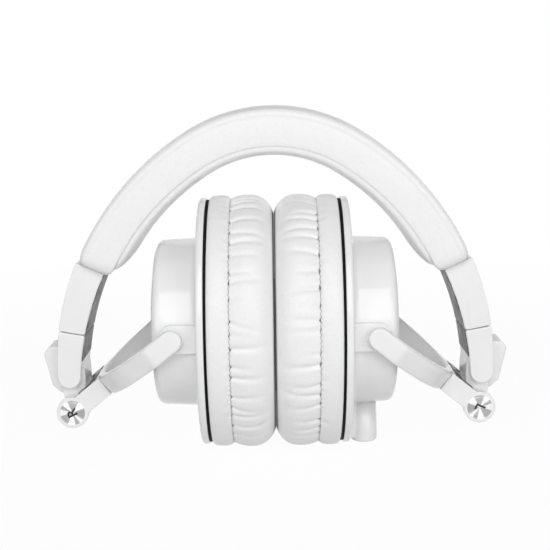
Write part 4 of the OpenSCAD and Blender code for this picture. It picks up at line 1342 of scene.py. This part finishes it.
def hump_cover(label, side):
    """Cover on the arm's outer face: flat on top, slanting in towards its foot, with soft corners."""
    face = hinge[0] + ARM_OUT
    out = hump_high[0]
    top, foot = hump_high[2], hump_low[2]
    corners = [
        (face - HUMP_SINK, top),
        (out - HUMP_TOP_SLANT[0], top - HUMP_TOP_SLANT[1]),
        (out, top - HUMP_SHOULDER),
        (out - HUMP_FOOT_SLANT[0], foot + HUMP_FOOT_SLANT[1]),
        (face - HUMP_TOE, foot),
        (face - HUMP_SINK, foot),
    ]
    shell = rounded_slab(rounded_corners(corners, HUMP_ROUND), -HUMP_HALF, HUMP_HALF, HUMP_EDGE, upright)
    make_piece(f"{label}_hump", [shell], "white_plastic", f"{label}_slider", side,
               (f"{label}_hump_cover",), even=True)


print("hump, mm:", (hump_high - hump_low).round(1))

# %% Painted shade liners
LINER_T = 0.25
LINER_SINK = 0.3
LINER_IN = 0.6
LINER_HALF = ARM_HALF - LINER_IN
LINER_EDGE = 0.08
LINER_GAP = 0.4
LINER_RISE = 20.0


def arm_liner(label, side, name, body, low, high):
    """Thin strip of painted shade on the arm's inner face between two heights: an arc sunk a little into the face.
    """
    ends = [np.array([arc_x(inner_c, z), z]) - inner_c for z in (low, high)]
    angles = [np.degrees(np.arctan2(end[1], end[0])) for end in ends]
    strip = np.concatenate([
        arc(inner_c, ARM_R + LINER_SINK, *angles, 12),
        arc(inner_c, ARM_R - LINER_T, *angles[::-1], 12),
    ])
    shell = rounded_slab(strip, -LINER_HALF, LINER_HALF, LINER_EDGE, upright)
    piece = make_piece(f"{label}_{name}_liner", [shell], "steel", body, side, even=True)
    # The strip takes the dark streaked finish of painted shade.
    piece.data.materials[0] = PAINTED_SHADE_LINER


for label, side in SIDES.items():
    end_cap_half(label, side, True)
    end_cap_half(label, side, False)
    hinge_block(label, side)
    hump_cover(label, side)
    split = meets_arc(strip_foot, ACROSS, inner_c)[1]
    arm_liner(label, side, "cap", "headband", split + LINER_GAP, cap_top_in[1] - LINER_GAP)
    arm_liner(label, side, "block", f"{label}_slider", hinge[2] + LINER_RISE, split - LINER_GAP)

# %% [markdown]
# ## Hinge leaves and yokes
# The leaf is a fork of two round ears joined by a bridge, with strips of painted shade on its upper face like
# the arms, and the yoke is a springy bow that grips the can from both sides. It could be a straight bar bent
# by a modifier, but a section carried along a drawn path follows the can exactly and can run out round at
# the tips. Both lie in the slanting plane of the folded hinge, so they are drawn in that plane: along the
# yoke, across it, and front to back.

# %% Yoke frame
reach = pivot - hinge
YOKE = np.hypot(reach[0], reach[2])
ALONG = reach[[0, 2]] / YOKE
ASIDE = np.array([-ALONG[1], ALONG[0]])
YOKE_BACK = 38.4


def slanting(along, y, across):
    """Points from distances along the yoke from the fold axis, to the back, and across the yoke."""
    along, y, across = np.broadcast_arrays(along, y, across)
    x = hinge[0] + along * ALONG[0] + across * ASIDE[0]
    z = hinge[2] + along * ALONG[1] + across * ASIDE[1]
    return np.stack([x, y, z], -1)


def bow_start(y):
    """How far along the yoke the outside of its bow, a circle about the tilt axis, lies at this y."""
    return YOKE - np.sqrt(YOKE_BACK ** 2 - y ** 2)


def rounded_section(half_a, half_b, radius, steps=5):
    """Rounded rectangle about the middle, as two arrays."""
    corners = np.array([(half_a, half_b), (-half_a, half_b), (-half_a, -half_b), (half_a, -half_b)])
    return rounded_corners(corners, radius, steps + 1).T


print("yoke reaches", round(YOKE, 1), "mm from the fold axis to the tilt axis")

# %% Hinge leaves
EAR_R = 6.2
EAR_IN, EAR_OUT = 8.3, 12.9
LEAF_HALF = 4.0
LEAF_EDGE = 0.55
LEAF_CLEAR = 0.1
BRIDGE = 11.1
BRIDGE_SHY = 0.02
BRIDGE_ROUND = 0.7
BRIDGE_LAP = 1.0


def hinge_leaf(label, side):
    """Two round ears with straight necks, and a bridge that is hollowed to the yoke's curve."""
    open_angle = np.degrees(np.arcsin(LEAF_HALF / EAR_R))
    ear = arc((0, 0), EAR_R, open_angle, 360 - open_angle, 48)
    neck_end = bow_start(EAR_OUT) - LEAF_CLEAR
    outline = np.concatenate([ear, [[neck_end, -LEAF_HALF], [neck_end, LEAF_HALF]]])
    shells = [
        rounded_slab(outline, low, high, LEAF_EDGE, slanting)
        for low, high in ((-EAR_OUT, -EAR_IN), (EAR_IN, EAR_OUT))
    ]
    y = np.linspace(-EAR_IN - BRIDGE_LAP, EAR_IN + BRIDGE_LAP, 25)[:, None]
    thick, across = rounded_section(1, LEAF_HALF - BRIDGE_SHY, BRIDGE_ROUND)
    hollow = bow_start(y)
    along = (BRIDGE + hollow) / 2 + thick[None] * (hollow - BRIDGE) / 2
    shells.append(grid_shell(slanting(along, y, across[None]), wrap_v=True, cap_u=True))
    make_piece(f"{label}_leaf_moulding", shells, "white_plastic", f"{label}_leaf", side,
               (f"{label}_hinge_leaf",), even=True)


LEAF_LINER_T = 0.2
LEAF_LINER_START = 6.4


def leaf_liner(label, side):
    """Thin strips of painted shade on the leaf's upper face: one along each ear's neck, one across the bridge."""
    bottom = -LEAF_HALF + LINER_SINK
    top = -LEAF_HALF - LEAF_LINER_T
    neck_end = bow_start(EAR_IN) - LINER_GAP
    neck_side = EAR_OUT - LINER_IN
    spans = (
        (LEAF_LINER_START, neck_end, -neck_side, -EAR_IN),
        (LEAF_LINER_START, neck_end, EAR_IN, neck_side),
        (BRIDGE + LINER_GAP, bow_start(0) - LINER_GAP, -EAR_IN, EAR_IN),
    )
    shells = []
    for start, end, low, high in spans:
        strip = [(start, bottom), (end, bottom), (end, top), (start, top)]
        shells.append(rounded_slab(strip, low, high, LINER_EDGE, slanting))
    piece = make_piece(f"{label}_leaf_liner", shells, "steel", f"{label}_leaf", side, even=True)
    # The strips take the dark streaked finish of painted shade.
    piece.data.materials[0] = PAINTED_SHADE_LINER


print("leaf is", 2 * EAR_OUT, "mm over its ears")

# %% Yokes
YOKE_MID = 36.3
YOKE_T = 3.8
YOKE_W = 8.4
YOKE_ROUND = 1.0
TIP_Y = 36.75
TIP_KEEP = 2.0
BAR_KEEP = 3.0
CREASE_AT = 9.0
BEND_SOFT = 15
TIP_THIN = 0.35
TIP_NARROW = 0.02
TIP_FILL = 6


def yoke_path(count=220):
    """Half of the yoke's middle line from its tip to the cross bar, as x along the yoke from the tilt axis
    and y: a flat tip, then the straight tangent to the bow's circle, then the circle. A running mean softens
    the bends, and the tip and the bar's middle stay as they are."""
    start = np.array([YOKE_W / 2, TIP_Y])
    bend = np.array([-CREASE_AT, TIP_Y])
    lean = np.arctan2(CREASE_AT, TIP_Y) + np.arccos(YOKE_MID / np.hypot(*bend))
    bow = np.radians(np.linspace(90 + np.degrees(lean), 180, 60))
    circle = YOKE_MID * np.stack([np.cos(bow), np.sin(bow)], -1)
    line = np.concatenate([[start, bend], circle])
    steps = np.concatenate([[0], np.cumsum(np.linalg.norm(np.diff(line, axis=0), axis=1))])
    tip = YOKE_W / 2 * (1 - np.cos(np.linspace(0, np.pi / 2, 24)))
    s = np.concatenate([tip[:-1], np.linspace(tip[-1], steps[-1], count)])
    path = np.stack([np.interp(s, steps, line[:, k]) for k in (0, 1)], -1)
    kernel = np.hanning(BEND_SOFT) / np.hanning(BEND_SOFT).sum()
    padded = np.pad(path, ((BEND_SOFT // 2, BEND_SOFT // 2), (0, 0)), "edge")
    smooth = np.stack([np.convolve(padded[:, k], kernel, "valid") for k in (0, 1)], -1)
    soft = (s > YOKE_W / 2 + TIP_KEEP) & (s < steps[-1] - BAR_KEEP)
    return np.where(soft[:, None], smooth, path), s


def yoke(label, side):
    """A rounded section carried round the bow; its width runs out in a half circle at each tip."""
    half, s = yoke_path()
    path = np.concatenate([half, half[-2::-1] * [1, -1]])
    way = np.concatenate([s, s[-2::-1]])
    tangent = np.gradient(path, axis=0)
    tangent[[0, -1]] = [[-1, 0], [1, 0]]
    tangent /= np.linalg.norm(tangent, axis=1, keepdims=True)
    normal = np.stack([-tangent[:, 1], tangent[:, 0]], -1)
    short = np.clip(1 - way / (YOKE_W / 2), 0, 1)
    width = np.sqrt(np.maximum(1 - short ** 2, 0.0))
    thick, across = rounded_section(YOKE_T / 2, YOKE_W / 2, YOKE_ROUND)
    full = np.clip(width * TIP_FILL, TIP_THIN, 1)[:, None]
    xy = path[:, None] + normal[:, None] * (thick * full)[..., None]
    grid = slanting(YOKE + xy[..., 0], xy[..., 1], across * np.maximum(width, TIP_NARROW)[:, None])
    shell = grid_shell(grid, wrap_v=True, cap_u=True)
    make_piece(f"{label}_bow", [shell], "white_plastic", f"{label}_fork", side, (f"{label}_yoke",))


for label, side in SIDES.items():
    hinge_leaf(label, side)
    leaf_liner(label, side)
    yoke(label, side)

# %% [markdown]
# ## Cable socket
# Under the left can a round housing holds the socket for a detachable cable. It could be bored out of a
# block, but a turned profile that runs round the soft lip and up into the bore needs no cutting. A web ties
# the housing to the flange.

# %% Socket housing
JACK_R = 5.3
JACK_TOP = 18.0
JACK_LIP = 1.3
JACK_SHY = 0.3
BORE_DEEP = 14.5
BORE_CLEAR = 0.05
AXIS_R = 0.1
WEB_FOOT = (1.6, 1.0)
WEB_ROUND = 1.1
WEB_HALF = 4.0
WEB_EDGE = 0.9
WEB_SINK = 0.4
housing_low, housing_high = span("jack_housing")
socket_low, socket_high = span("jack_socket")
jack_x = housing_high[0] - JACK_R
mouth_r = (socket_high[1] - socket_low[1]) / 2 + BORE_CLEAR


def below_can(u, v, h):
    """Turned about the socket's upright axis."""
    return np.stack([jack_x + u, v, h], -1)


def socket_housing():
    """Barrel whose profile runs from its closed top inside the can down to the rounded lip and up the open
    bore, and a web to the flange."""
    foot = housing_low[2]
    top = foot + JACK_TOP
    lip_r, lip_z = quarter(JACK_R - JACK_LIP, foot, JACK_R, foot + JACK_LIP)
    bore_r = mouth_r + np.array([0.5, 0.1, 0, 0])
    bore_z = foot + np.array([0, 0.15, 0.5, BORE_DEEP, BORE_DEEP])
    r = np.concatenate([[AXIS_R, JACK_R - JACK_SHY], lip_r[::-1], bore_r, [AXIS_R]])
    h = np.concatenate([[top, top], lip_z[::-1], bore_z])
    end = flange_x - WEB_SINK
    corners = [(end, foot + WEB_FOOT[0]), (jack_x, foot + WEB_FOOT[1]), (jack_x, top), (end, top)]
    web = rounded_corners(corners, [WEB_ROUND, 0, 0, 0])
    shells = [lathe(r, h, below_can, 72), rounded_slab(web, -WEB_HALF, WEB_HALF, WEB_EDGE, upright)]
    make_piece("socket_housing", shells, "white_plastic", "left_cup", 1, ("jack_housing",))


socket_housing()

# %% [markdown]
# ## Side marks
# The front discs carry an L and an R in ink, so that the wearer knows the sides. A letter could be a picture
# laid on the disc, but a thin mesh made from text stays sharp from close by. It is turned so that it stands
# upright once the hinge is folded out.

# %% Marks
MARK_HIGH = 5.4
MARK_TURN = np.radians(114)
MARK_BOLD = 0.12
MARK_THICK = 0.03
MARK_LIFT = 0.1


def side_mark(label, side):
    """One letter as a thin inked mesh: stood up, turned in the disc's plane and moved to the front disc."""
    curve = bpy.data.curves.new(f"{label}_mark", "FONT")
    curve.body = label[0].upper()
    curve.align_x = curve.align_y = "CENTER"
    curve.size = MARK_HIGH * MM
    curve.offset = MARK_BOLD * MM
    curve.extrude = MARK_THICK * MM
    letter = bpy.data.objects.new(f"{label}_letter", curve)
    scene.collection.objects.link(letter)
    mesh = bpy.data.meshes.new_from_object(letter.evaluated_get(bpy.context.evaluated_depsgraph_get()))
    bpy.data.objects.remove(letter)
    stand = Matrix.Rotation(np.pi / 2, 4, "X")
    spin = Matrix.Rotation(side * MARK_TURN, 4, "Y")
    place = Matrix.Translation(Vector((side * hinge[0], -ear_face - MARK_LIFT, hinge[2])) * MM)
    mesh.transform(place @ spin @ stand)
    mesh.materials.clear()
    mesh.materials.append(MARK_INK)
    piece = bpy.data.objects.new(f"{label}_mark", mesh)
    scene.collection.objects.link(piece)
    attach(piece, f"{label}_leaf")
    print(f"{label}_mark: {len(mesh.polygons)} faces")


for label, side in SIDES.items():
    side_mark(label, side)
